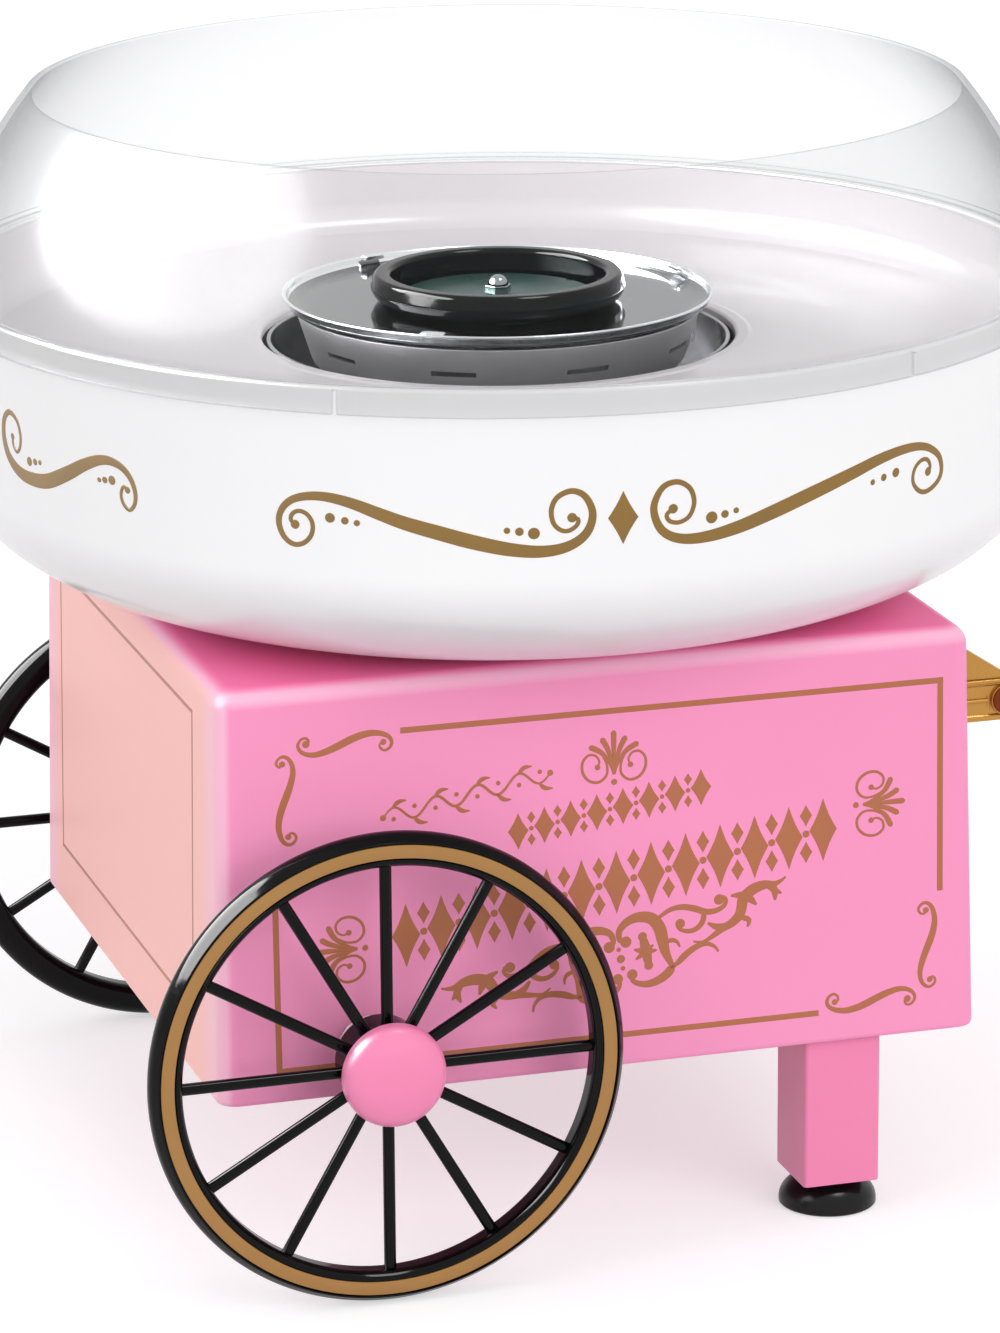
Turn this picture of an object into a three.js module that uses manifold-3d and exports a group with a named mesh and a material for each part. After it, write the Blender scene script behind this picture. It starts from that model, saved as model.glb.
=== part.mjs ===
// Counter-top cotton candy machine in the shape of a two-wheeled carnival cart, in millimetres, +Z up.
// The origin is on the floor, on the axis of the round bowl. +X runs from the wheels to the push handle
// and the printed long side faces -Y.
import * as THREE from "three";
import { mergeVertices } from "three/addons/utils/BufferGeometryUtils.js";
import Module from "manifold-3d";

const wasm = await Module();
wasm.setup();

// Clearances shared by the pieces that touch, and by the pieces that turn
const seatGap = 0.3;
const runningGap = 0.3;

// Flat sides that stand for a full circle on large, middling, small and very small round pieces
const largeSides = 32;
const mediumSides = 16;
const smallSides = 8;
const screwSides = 6;

// Wheels and their axle. The wheel stands on the floor, so its radius also sets the axle's height.
const wheelRadius = 62.06;
const wheelThickness = 8;
const wheelEdge = 1.8;
const wheelStandOff = 20.6;
const rimDepth = 8.46;
const spokeCount = 12;
const spokeRadius = 1.5;
const spokeSides = 6;
const hubRadius = 11.5;
const hubLength = 13.6;
const bandInset = 2.56;
const bandWidth = 3.5;
const bandThickness = 0.7;
const hubCapRadius = 13.4;
const hubCapHeight = 7.6;
const hubCapSkirt = 2.2;
const hubCapHollowRadius = 9;
const hubCapHollowDepth = 3.2;
const axleRadius = 3;
const axleRise = 12.66;
const axleEndInset = 39.25;
const axleBeyondWheel = 2;
const pushNutRadius = 6.5;
const pushNutThickness = 1;
const bushWall = 1.8;
const bushNoseStep = 1.4;
const bushReachInside = 6;
const bushFlangeRadius = 8.5;
const bushFlangeThickness = 1.8;

// Cart body: a drafted box with round corners, open underneath
const cartCentreX = -2.5;
const cartHeight = 108;
const cartLength = 204.5;
const cartWidth = 198;
const cartLengthDraft = 3.8;
const cartWidthDraft = 6.8;
const cartWall = 2.4;
const cartCorner = 5;
const cartTopRound = 5;
const cartBottomRound = 1.4;
const shaftHoleRadius = 16;
const collarWall = 2.5;
const collarHeight = 3.5;
const collarToBowlGap = 0.6;
const screwPostRadius = 4;
const screwPostInset = 11;
const ventCount = 7;
const ventWidth = 3;
const ventHeight = 26;
const ventPitch = 9;
const ventCentreX = -45;
const ventDrop = 57.4;

// Base plate, legs and feet, and the screw that fastens them
const basePlateThickness = 2.4;
const basePlateRecess = 2.3;
const baseSlotCount = 9;
const baseSlotLength = 60;
const baseSlotWidth = 3.5;
const baseSlotPitch = 10;
const legLength = 21;
const legWidth = 22;
const legEndInset = 36.25;
const legSideInset = 14;
const legCorner = 1.2;
const cupHeight = 8;
const cupRadius = 12.9;
const cupLipWidth = 3;
const cupLipHeight = 1.2;
const cupHollowHeight = 3;
const cupStemRadius = 4;
const cupStemHeight = 6.5;
const screwRadius = 1.5;
const screwHeadRadius = 3;
const screwHeadHeight = 1.8;
const screwLength = 9;
const bracketScrewLength = 4.4;

// Push handle on the end face
const handleArmInset = 29;
const handleArmThickness = 6;
const handleHeight = 11.4;
const handleDrop = 21.8;
const handleReach = 18;
const handleTail = 3;
const handleBarRadius = 4.2;
const handleBarOverhang = 1;
const handleFootWidth = 14;
const handleFootThickness = 2.4;
const handleFootMargin = 1.5;
const gussetRise = 12.4;
const gussetReach = 20;

// Heater well and what carries it. The bowl's holes and the spinning head take their radii from the well.
const wellRadius = 61.4;
const wellDepth = 22.6;
const wellRimDrop = 19;
const wellWall = 1.2;
const wellHoleRadius = 9;
const pedestalInset = 10;
const pedestalWall = 2.4;
const pedestalFlangeWidth = 14;
const pedestalTopWidth = 12;
const elementInset = 7;
const elementTubeRadius = 3.2;
const elementTerminalRadius = 1.6;
const elementTerminalAngle = 0.22;
const elementTerminalDrop = 14;
const elementSeatHeight = 4.4;

// Bowl: an outer shell that rests on the cart and a shallow tray dropped into it
const bowlRimRadius = 145;
const bowlHeight = 82.3;
const bowlWall = 2.4;
const bowlSideDraft = 1;
const bowlShoulderRise = 34.3;
const bowlFootWidth = 6;
const bowlRimEdge = 0.6;
const wellToShellGap = 6.6;
const wellToTrayGap = 1.2;
const trayWall = 2;
const trayLedgeDrop = 17;
const trayLedgeDepth = 2.6;
const trayLedgeTaper = 8;
const trayFloorDrop = 21.4;
const trayFloorBand = 37;
const trayHoleDrop = 18;
const trayHoleBead = 4;
const trayCornerWidth = 9;
const trayCornerHeight = 8.6;
const trayCornerRise = 11;

// Clear floss guard around the bowl's rim
const guardHeight = 48.4;
const guardLean = 21.6;
const guardWall = 2;
const guardBulge = 3.1;
const guardSteps = 4;
const guardShoulderRise = 1.4;
const guardShoulderBevel = 0.8;
const guardSkirtDrop = 6.5;
const guardSkirtGap = 0.6;
const guardSlitCount = 6;
const guardSlitWidth = 1.2;
const guardSlitHeight = 7;
const guardSlitTurn = -0.045;

// Spinning head
const discInset = 4.2;
const discRise = 8.2;
const discThickness = 1.2;
const discSlopeWidth = 5.2;
const discLipHeight = 4;
const discLipWidth = 0.9;
const discHoleStep = 1.2;
const sugarCupDepth = 14.6;
const sugarCupInset = 3.6;
const sugarCupTaper = 4.6;
const sugarCupWall = 1.2;
const sugarCupSlotCount = 9;
const sugarCupSlotLength = 12;
const sugarCupSlotHeight = 1.4;
const ringInnerRadius = 28.2;
const ringWidth = 5.6;
const ringHeight = 7.5;
const hubPlateGap = 2.6;
const hubPlateThickness = 1.4;
const hubTubeRadius = 6.5;
const shaftRadius = 2.5;
const shaftTipRadius = 1.7;
const shaftBelowFan = 1;
const acornAcrossCorners = 7.2;
const acornHexHeight = 2;
const acornHeight = 4.8;

// Motor and fan
const bracketRimWidth = 8;
const bracketThickness = 1.6;
const bracketScrewOutset = 6;
const bracketScrewCount = 3;
const bracketHoleMargin = 4;
const mountRingRadius = 20;
const mountRingWall = 5;
const mountRingHeight = 4;
const motorRadius = 27;
const motorHeight = 50;
const motorWall = 1.5;
const motorCapThickness = 3;
const motorBushRadius = 5.6;
const motorBushHeight = 5;
const motorBushReach = 1;
const magnetWall = 4.6;
const magnetHeight = 34;
const rotorAirGap = 1;
const rotorHeight = 30;
const rotorSlotCount = 5;
const rotorSlotWidth = 3;
const rotorSlotDepth = 9;
const fanRadius = 34;
const fanHubRadius = 8;
const fanHeight = 9;
const fanBladeCount = 7;
const fanBladeThickness = 1.4;
const fanBladePitch = 0.6;
const fanGap = 5;

// Switch, gland and wiring on the back wall
const switchEndInset = 41.75;
const switchDrop = 39.4;
const switchOpeningWidth = 14;
const switchOpeningHeight = 20;
const switchBezelMargin = 3;
const switchBezelThickness = 1.8;
const switchBodyDepth = 12;
const rockerPocketDepth = 9;
const rockerWidth = 10;
const rockerHeight = 15;
const rockerCrown = 3.4;
const rockerShoulder = 2.2;
const rockerKeel = 4.5;
const rockerPivotDepth = 1;
const rockerTilt = 0.16;
const rockerTipGap = 1;
const glandEndInset = 23.75;
const glandRise = 22.6;
const glandRadius = 6;
const glandFlangeRadius = 9;
const glandDepth = 14;
const glandFlangeThickness = 3;
const terminalX = 50;
const terminalSideInset = 49;
const terminalLength = 34;
const terminalWidth = 13;
const terminalHeight = 12;
const terminalWayCount = 4;
const terminalWayRadius = 1.8;
const leadRadius = 2.4;
const leadSteps = 16;
const leadToGlandGap = 0.5;
const leadInGland = 6;
const leadStraight = 4;
const leadBend = 14;
const motorLeadAngle = 1.026;

// Heights, radii and places that follow from the values above, from the floor upwards
const wheelZ = wheelRadius;
const rimInnerRadius = wheelRadius - rimDepth;
const bandOuterRadius = wheelRadius - bandInset;
const bandInnerRadius = bandOuterRadius - bandWidth;
const wheelFaceY = cartWidth / 2 + wheelStandOff;
const hubInnerY = wheelFaceY - hubLength;
const axleEndY = wheelFaceY + axleBeyondWheel;
const bushRadius = axleRadius + runningGap + bushWall;
const cartBottomZ = wheelZ - axleRise;
const cartTopZ = cartBottomZ + cartHeight;
const cartCeilingZ = cartTopZ - cartWall;
const cartEndX = cartCentreX + cartLength / 2;
const axleX = cartCentreX - cartLength / 2 + axleEndInset;
const draftPerSideX = cartLengthDraft / 2 / cartHeight;
const draftPerSideY = cartWidthDraft / 2 / cartHeight;
const sideY = (z) => cartWidth / 2 - draftPerSideY * (z - cartBottomZ);
const endX = (z) => cartEndX - draftPerSideX * (z - cartBottomZ);
const ventCentreZ = cartTopZ - ventDrop;
const basePlateZ = cartBottomZ + basePlateRecess;
const basePlateTopZ = basePlateZ + basePlateThickness;
const screwPostX = cartLength / 2 - screwPostInset;
const screwPostY = cartWidth / 2 - screwPostInset;
const legCentreX = cartEndX - legEndInset;
const legCentreY = cartWidth / 2 - legSideInset;

const handleArmY = cartWidth / 2 - handleArmInset;
const handleTopZ = cartTopZ - handleDrop;
const handleBottomZ = handleTopZ - handleHeight;
const handleMiddleZ = (handleBottomZ + handleTopZ) / 2;
const gussetTopZ = handleTopZ + gussetRise;
const handleFootX = endX(handleBottomZ - handleFootMargin) + seatGap;
const handleBarX = handleFootX + handleReach;

const shellHoleRadius = wellRadius + wellToShellGap;
const collarRadius = shellHoleRadius - collarToBowlGap;
const trayHoleRadius = wellRadius + wellToTrayGap;
const bowlFootOuterRadius = shellHoleRadius + bowlFootWidth;
const bowlShoulderRadius = bowlRimRadius - bowlSideDraft;
const bowlFootZ = cartTopZ + seatGap;
const bowlShoulderZ = bowlFootZ + bowlShoulderRise;
const bowlRimZ = bowlFootZ + bowlHeight;
const trayLedgeZ = bowlRimZ - trayLedgeDrop;
const trayFloorZ = bowlRimZ - trayFloorDrop;
const trayFloorRadius = bowlRimRadius - trayFloorBand;
const trayHoleZ = bowlRimZ - trayHoleDrop;
const guardSkirtBottomZ = bowlRimZ - guardSkirtDrop;
const guardShoulderZ = bowlRimZ + guardShoulderRise;
const guardTopZ = bowlRimZ + guardHeight;
const guardMouthRadius = bowlRimRadius - guardLean;

const wellRimZ = bowlRimZ - wellRimDrop;
const wellFloorZ = wellRimZ - wellDepth;
const pedestalZ = cartTopZ + seatGap;
const discZ = wellRimZ + discRise;
const discLipZ = discZ + discLipHeight;
const discRadius = wellRadius - discInset;
const discFlatRadius = discRadius - discSlopeWidth;
const discHoleRadius = ringInnerRadius - discHoleStep;
const sugarCupFloorZ = discZ - sugarCupDepth;
const sugarCupRimRadius = discRadius - sugarCupInset;
const sugarCupFloorRadius = sugarCupRimRadius - sugarCupTaper;
const elementRadius = sugarCupFloorRadius - elementInset;
const pedestalRadius = elementRadius - pedestalInset;
const elementSeatZ = wellFloorZ + wellWall + seatGap;
const elementZ = elementSeatZ + elementSeatHeight + seatGap + elementTubeRadius;
const hubPlateZ = discZ + discThickness + seatGap;
const hubPlateRadius = ringInnerRadius - hubPlateGap;
const acornZ = hubPlateZ + hubPlateThickness + seatGap;

const bracketScrewRadius = pedestalRadius + bracketScrewOutset;
const bracketRadius = bracketScrewRadius + bracketRimWidth;
const bracketZ = cartCeilingZ - seatGap - bracketThickness;
const mountRingZ = bracketZ - seatGap - mountRingHeight;
const motorTopZ = mountRingZ - seatGap;
const motorBottomZ = motorTopZ - motorHeight;
const motorMiddleZ = (motorTopZ + motorBottomZ) / 2;
const motorCapZ = motorBottomZ - seatGap - motorCapThickness;
const magnetInnerRadius = motorRadius - motorWall - seatGap - magnetWall;
const fanTopZ = motorCapZ - fanGap;

const switchX = cartEndX - switchEndInset;
const switchZ = cartTopZ - switchDrop;
const glandX = cartEndX - glandEndInset;
const glandZ = cartBottomZ + glandRise;
const glandBoreRadius = leadRadius + leadToGlandGap;
const terminalY = cartWidth / 2 - terminalSideInset;
const terminalBottomZ = basePlateTopZ + seatGap;
const terminalTopZ = terminalBottomZ + terminalHeight;
const terminalMiddleZ = (terminalBottomZ + terminalTopZ) / 2;

// Geometry that holds positions alone, with the vertices that it shares made one
function welded(geometry) {
  const bare = geometry.clone();
  bare.deleteAttribute("normal");
  bare.deleteAttribute("uv");
  return mergeVertices(bare, 1e-4);
}

function toSolid(geometry) {
  const { attributes, index } = welded(geometry);
  const mesh = new wasm.Mesh({
    numProp: 3,
    vertProperties: new Float32Array(attributes.position.array),
    triVerts: new Uint32Array(index.array),
  });
  return new wasm.Manifold(mesh);
}

function toGeometry(solid) {
  const { vertProperties, triVerts } = solid.getMesh();
  return new THREE.BufferGeometry()
    .setAttribute("position", new THREE.BufferAttribute(vertProperties, 3))
    .setIndex(new THREE.BufferAttribute(triVerts, 1));
}

function join(...geometries) {
  const solid = geometries.map(toSolid).reduce((whole, next) => whole.add(next));
  return toGeometry(solid);
}

function cut(geometry, ...tools) {
  const solid = tools.map(toSolid).reduce((rest, tool) => rest.subtract(tool), toSolid(geometry));
  return toGeometry(solid);
}

function block(x, y, z, [centreX, centreY, centreZ]) {
  return new THREE.BoxGeometry(x, y, z).translate(centreX, centreY, centreZ);
}

// A round bar from one height to another along Z, or from one place to another along X or Y
function rod(radius, from, to, { axis = "z", at = [0, 0], sides = mediumSides } = {}) {
  const bar = new THREE.CylinderGeometry(radius, radius, to - from, sides);
  const middle = (from + to) / 2;
  if (axis === "x") return bar.rotateZ(-Math.PI / 2).translate(middle, at[0], at[1]);
  if (axis === "y") return bar.translate(at[0], middle, at[1]);
  return bar.rotateX(Math.PI / 2).translate(at[0], at[1], middle);
}

// A turned piece about Z. The profile lists [radius, z] with the outside going up, and closes on itself
// unless it starts and ends on the axis.
function turned(profile, sides = mediumSides) {
  const [first] = profile;
  const onAxis = first[0] === 0;
  const outline = onAxis ? profile : [...profile, first];
  const points = outline.map(([radius, z]) => new THREE.Vector2(radius, z));
  return new THREE.LatheGeometry(points, sides).rotateX(Math.PI / 2);
}

// A flat ring with square edges
function washer(inner, outer, bottom, top, sides = mediumSides) {
  return turned([[inner, bottom], [outer, bottom], [outer, top], [inner, top]], sides);
}

// Points on an ellipse from one angle to another, ends included
function arcPoints([centreR, centreZ], [radiusR, radiusZ], from, to, steps) {
  return Array.from({ length: steps + 1 }, (_, i) => {
    const angle = from + ((to - from) * i) / steps;
    return [centreR + radiusR * Math.cos(angle), centreZ + radiusZ * Math.sin(angle)];
  });
}

// A rectangle with round corners, as points in order
function roundedRectangle(length, width, corner, stepsPerCorner = 3) {
  const sides = [[1, 1], [-1, 1], [-1, -1], [1, -1]];
  return sides.flatMap(([x, y], quarter) => {
    const centre = [x * (length / 2 - corner), y * (width / 2 - corner)];
    const start = (quarter * Math.PI) / 2;
    return arcPoints(centre, [corner, corner], start, start + Math.PI / 2, stepsPerCorner);
  });
}

// A closed skin through level outlines that all have the same number of points, lowest first
function loft(levels) {
  const count = levels[0].outline.length;
  const positions = levels.flatMap(({ outline, z }) => outline.flatMap(([x, y]) => [x, y, z]));
  const index = [];
  for (let level = 0; level < levels.length - 1; level += 1) {
    for (let i = 0; i < count; i += 1) {
      const a = level * count + i;
      const b = level * count + ((i + 1) % count);
      index.push(a, b, b + count, a, b + count, a + count);
    }
  }
  const top = (levels.length - 1) * count;
  for (let i = 1; i < count - 1; i += 1) {
    index.push(0, i + 1, i);
    index.push(top, top + i, top + i + 1);
  }
  return new THREE.BufferGeometry()
    .setAttribute("position", new THREE.Float32BufferAttribute(positions, 3))
    .setIndex(index);
}

function upright(outline, depth) {
  const points = outline.map(([x, y]) => new THREE.Vector2(x, y));
  return new THREE.ExtrudeGeometry(new THREE.Shape(points), { depth, bevelEnabled: false });
}

function tubeAlong(points, radius, steps) {
  const section = new THREE.Shape();
  section.absarc(0, 0, radius, 0, 2 * Math.PI);
  const extrudePath = new THREE.CatmullRomCurve3(points.map((point) => new THREE.Vector3(...point)));
  return new THREE.ExtrudeGeometry(section, { steps, curveSegments: 4, bevelEnabled: false, extrudePath });
}

const around = (count) => Array.from({ length: count }, (_, i) => (2 * Math.PI * i) / count);

const finishes = {
  pink: { color: 0xf27fae, roughness: 0.35, metalness: 0 },
  white: { color: 0xf4f4f4, roughness: 0.25, metalness: 0 },
  clear: { color: 0xeef2f5, roughness: 0.08, metalness: 0, transparent: true, opacity: 0.25 },
  black: { color: 0x17171a, roughness: 0.2, metalness: 0 },
  rubber: { color: 0x101012, roughness: 0.7, metalness: 0 },
  gold: { color: 0xb5853a, roughness: 0.35, metalness: 0.7 },
  chrome: { color: 0xb8bbbd, roughness: 0.12, metalness: 1 },
  steel: { color: 0x8d8f92, roughness: 0.4, metalness: 1 },
  aluminium: { color: 0xa9adad, roughness: 0.35, metalness: 1 },
  teal: { color: 0x4c6664, roughness: 0.3, metalness: 0.6 },
  bronze: { color: 0x9a6b3c, roughness: 0.4, metalness: 0.9 },
  ceramic: { color: 0xe6ded0, roughness: 0.7, metalness: 0 },
  nylon: { color: 0xe4e2dc, roughness: 0.5, metalness: 0 },
};

const machine = new THREE.Group();

function add(name, geometry, finish, parent = machine) {
  const mesh = new THREE.Mesh(geometry, new THREE.MeshStandardMaterial(finishes[finish]));
  mesh.name = name;
  parent.add(mesh);
  return mesh;
}

// A pan head screw that points up, its head below the origin
function screw(length = screwLength) {
  const head = arcPoints([0, 0], [screwHeadRadius, screwHeadHeight], -Math.PI / 2, 0, 2);
  head[0][0] = 0;
  const shank = rod(screwRadius, -screwHeadHeight / 2, length, { sides: screwSides });
  return join(shank, turned([...head, [0, 0]], screwSides));
}

// Level outlines of the cart, drawn in by a given amount on every side
function cartOutline(z, inset) {
  const rise = (z - cartBottomZ) / cartHeight;
  const length = cartLength - cartLengthDraft * rise - 2 * inset;
  const width = cartWidth - cartWidthDraft * rise - 2 * inset;
  const corner = Math.max(cartCorner - inset / 2, 1);
  const outline = roundedRectangle(length, width, corner);
  return { z, outline: outline.map(([x, y]) => [x + cartCentreX, y]) };
}

const screwPosts = [-1, 1].flatMap((end) =>
  [-1, 1].map((side) => [cartCentreX + end * screwPostX, side * screwPostY]),
);

// Places of the bracket's screws on their circle
const bracketScrews = around(bracketScrewCount).map((angle) => [
  bracketScrewRadius * Math.cos(angle + Math.PI / 2),
  bracketScrewRadius * Math.sin(angle + Math.PI / 2),
]);

function cartBody() {
  const round = arcPoints([0, cartTopZ - cartTopRound], [cartTopRound, cartTopRound], 0, Math.PI / 2, 4);
  const outside = loft([
    cartOutline(cartBottomZ, cartBottomRound / 2),
    cartOutline(cartBottomZ + cartBottomRound, 0),
    ...round.map(([outward, z]) => cartOutline(z, cartTopRound - outward)),
  ]);
  const inside = loft([cartOutline(cartBottomZ - 1, cartWall), cartOutline(cartCeilingZ, cartWall)]);
  const postBottomZ = basePlateTopZ + seatGap;
  const posts = screwPosts.map((at) =>
    rod(screwPostRadius, postBottomZ, cartCeilingZ + 1, { at, sides: smallSides }),
  );
  const pilots = screwPosts.map((at) =>
    rod(screwRadius + seatGap, postBottomZ - 1, postBottomZ + screwLength, { at, sides: smallSides }),
  );
  const collar = washer(collarRadius - collarWall, collarRadius, cartTopZ - 1, cartTopZ + collarHeight);
  const wallCut = 8;
  const axleHoles = [-1, 1].map((side) =>
    rod(bushRadius + seatGap, side * sideY(wheelZ) - wallCut, side * sideY(wheelZ) + wallCut, {
      axis: "y",
      at: [axleX, wheelZ],
    }),
  );
  const handleHoles = [-1, 1].map((side) =>
    rod(screwRadius + seatGap, handleFootX - wallCut, handleFootX + wallCut, {
      axis: "x",
      at: [side * handleArmY, handleMiddleZ],
      sides: smallSides,
    }),
  );
  const vents = Array.from({ length: ventCount }, (_, i) => {
    const x = ventCentreX + (i - (ventCount - 1) / 2) * ventPitch;
    return block(ventWidth, wallCut, ventHeight, [x, sideY(ventCentreZ), ventCentreZ]);
  });
  const bracketHoles = bracketScrews.map((at) =>
    rod(screwRadius + seatGap, cartCeilingZ - 1, cartTopZ + 1, { at, sides: smallSides }),
  );
  const switchCentre = [switchX, sideY(switchZ), switchZ];
  const switchHole = block(switchOpeningWidth, wallCut, switchOpeningHeight, switchCentre);
  const glandHole = rod(glandRadius + seatGap, sideY(glandZ) - wallCut, sideY(glandZ) + wallCut, {
    axis: "y",
    at: [glandX, glandZ],
  });
  const shaftHole = rod(shaftHoleRadius, cartCeilingZ - 1, cartTopZ + 1);
  return cut(
    join(cut(outside, inside), ...posts, collar),
    ...pilots,
    ...axleHoles,
    ...handleHoles,
    ...vents,
    ...bracketHoles,
    switchHole,
    glandHole,
    shaftHole,
  );
}

function basePlate() {
  const inset = cartWall + seatGap;
  const plate = loft([cartOutline(basePlateZ, inset), cartOutline(basePlateTopZ, inset)]);
  const legScrews = [-1, 1].map((side) => [legCentreX, side * legCentreY]);
  const holes = [...screwPosts, ...legScrews].map((at) =>
    rod(screwRadius + seatGap, basePlateZ - 1, basePlateTopZ + 1, { at, sides: smallSides }),
  );
  const slots = Array.from({ length: baseSlotCount }, (_, i) => {
    const y = (i - (baseSlotCount - 1) / 2) * baseSlotPitch;
    return block(baseSlotLength, baseSlotWidth, 3 * basePlateThickness, [0, y, basePlateZ]);
  });
  return cut(plate, ...holes, ...slots);
}

function leg() {
  const bottomZ = cupHeight + seatGap;
  const topZ = basePlateZ - seatGap;
  const outline = roundedRectangle(legLength, legWidth, legCorner, 2);
  const post = loft([{ outline, z: bottomZ }, { outline, z: topZ }]);
  const stemBore = rod(cupStemRadius + seatGap, bottomZ - 1, bottomZ + cupStemHeight);
  const screwBore = rod(screwRadius + seatGap, topZ - screwLength, topZ + 1, { sides: smallSides });
  return cut(post, stemBore, screwBore);
}

// A bell-shaped foot, hollow underneath, with a stem that plugs into the leg
function suctionCup() {
  const lipInnerRadius = cupRadius - cupLipWidth;
  const domeSize = [cupRadius - cupStemRadius, cupHeight - cupLipHeight];
  const shoulder = arcPoints([cupStemRadius, cupLipHeight], domeSize, 0, 1.3, 4);
  const stemTopZ = cupHeight + cupStemHeight - seatGap;
  return turned(
    [
      [0, cupHollowHeight],
      [lipInnerRadius * 0.7, cupHollowHeight * 0.8],
      [lipInnerRadius, 0],
      [cupRadius, 0],
      ...shoulder,
      [cupStemRadius, cupHeight],
      [cupStemRadius, stemTopZ],
      [0, stemTopZ],
    ],
    mediumSides,
  );
}

// A moulded wheel about Z with its printed face at z = 0 and its back below it
function wheel() {
  const back = -wheelThickness;
  const edge = wheelEdge;
  const groove = bandThickness + seatGap;
  const rim = turned(
    [
      [rimInnerRadius, back + edge / 2],
      [rimInnerRadius + edge / 2, back],
      [wheelRadius - edge, back],
      [wheelRadius, back + edge],
      [wheelRadius, -edge],
      [wheelRadius - edge / 4, -edge / 3],
      [wheelRadius - edge, 0],
      [bandOuterRadius + seatGap, 0],
      [bandOuterRadius + seatGap, -groove],
      [bandInnerRadius - seatGap, -groove],
      [bandInnerRadius - seatGap, 0],
      [rimInnerRadius + edge / 2, 0],
      [rimInnerRadius, -edge / 2],
    ],
    largeSides,
  );
  const bore = axleRadius + runningGap;
  const hubBack = hubInnerY - wheelFaceY;
  const hub = turned(
    [
      [bore, hubBack],
      [hubRadius - edge, hubBack],
      [hubRadius, hubBack + edge],
      [hubRadius, 0],
      [bore, 0],
    ],
    mediumSides,
  );
  const spokePlace = { axis: "y", at: [0, back / 2], sides: spokeSides };
  const spokes = around(spokeCount).map((angle) =>
    rod(spokeRadius, hubRadius - 1, rimInnerRadius + 1, spokePlace).rotateZ(angle),
  );
  return join(rim, hub, ...spokes);
}

// A domed cap, hollow over the end of the axle
function hubCap() {
  const dome = arcPoints([0, hubCapSkirt], [hubCapRadius, hubCapHeight - hubCapSkirt], 0, Math.PI / 2, 5);
  dome[dome.length - 1][0] = 0;
  return turned(
    [
      [0, seatGap + hubCapHollowDepth],
      [hubCapHollowRadius, seatGap + hubCapHollowDepth],
      [hubCapHollowRadius, seatGap],
      [hubCapRadius - 1, seatGap],
      ...dome,
    ],
    mediumSides,
  );
}

// A flanged bush about Z, where z is the distance from the cart's middle plane
function axleBush() {
  const flangeZ = sideY(wheelZ - bushFlangeRadius) + seatGap;
  const insideZ = sideY(wheelZ) - bushReachInside;
  const noseRadius = bushRadius + bushNoseStep;
  const bore = axleRadius + runningGap;
  return turned(
    [
      [bore, insideZ],
      [bushRadius, insideZ],
      [bushRadius, flangeZ],
      [bushFlangeRadius, flangeZ],
      [bushFlangeRadius, flangeZ + bushFlangeThickness],
      [noseRadius, flangeZ + bushFlangeThickness],
      [noseRadius, hubInnerY - runningGap],
      [bore, hubInnerY - runningGap],
    ],
    mediumSides,
  );
}

// An arm of the push handle: a foot and a gusseted web with a round end and a bore for the bar
function handleArm() {
  const webX = handleFootX + handleFootThickness / 2;
  const endRadius = handleHeight / 2;
  const endCentre = [handleBarX + handleTail, handleMiddleZ];
  const roundEnd = arcPoints(endCentre, [endRadius, endRadius], -Math.PI / 2, Math.PI / 2, 8);
  const gusset = [[handleFootX + gussetReach, handleTopZ], [webX, gussetTopZ]];
  const outline = [[webX, handleBottomZ], ...roundEnd, ...gusset];
  const web = upright(outline, handleArmThickness)
    .rotateX(Math.PI / 2)
    .translate(0, handleArmThickness / 2, 0);
  const footHeight = gussetTopZ - handleBottomZ + 2 * handleFootMargin;
  const foot = block(handleFootThickness, handleFootWidth, footHeight, [
    handleFootX + handleFootThickness / 2,
    0,
    handleBottomZ - handleFootMargin + footHeight / 2,
  ]);
  const barBore = rod(handleBarRadius + seatGap, -handleArmThickness, handleArmThickness, {
    axis: "y",
    at: [handleBarX, handleMiddleZ],
  });
  const screwBore = rod(screwRadius + seatGap, handleFootX - 1, handleFootX + screwLength, {
    axis: "x",
    at: [0, handleMiddleZ],
    sides: smallSides,
  });
  return cut(join(foot, web), barBore, screwBore);
}

// The outer wall of the bowl: flat foot, wide round corner, nearly upright side
function bowlShell() {
  const centre = [bowlFootOuterRadius, bowlShoulderZ];
  const cornerR = bowlShoulderRadius - bowlFootOuterRadius;
  const cornerZ = bowlShoulderZ - bowlFootZ;
  const outer = arcPoints(centre, [cornerR, cornerZ], -Math.PI / 2, 0, 6);
  const inner = arcPoints(centre, [cornerR - bowlWall, cornerZ - bowlWall], 0, -Math.PI / 2, 5);
  const innerRadius = bowlRimRadius - bowlWall;
  const ledgeRadius = innerRadius - trayLedgeDepth;
  const profile = [
    [shellHoleRadius, bowlFootZ],
    ...outer,
    [bowlRimRadius, bowlRimZ - bowlRimEdge],
    [bowlRimRadius - bowlRimEdge, bowlRimZ],
    [innerRadius, bowlRimZ],
    [innerRadius, trayLedgeZ],
    [ledgeRadius, trayLedgeZ],
    [ledgeRadius, trayLedgeZ - trayLedgeTaper / 4],
    [bowlShoulderRadius - bowlWall, trayLedgeZ - trayLedgeTaper],
    ...inner,
    [shellHoleRadius, bowlFootZ + bowlWall],
  ];
  return turned(profile, largeSides);
}

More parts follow.
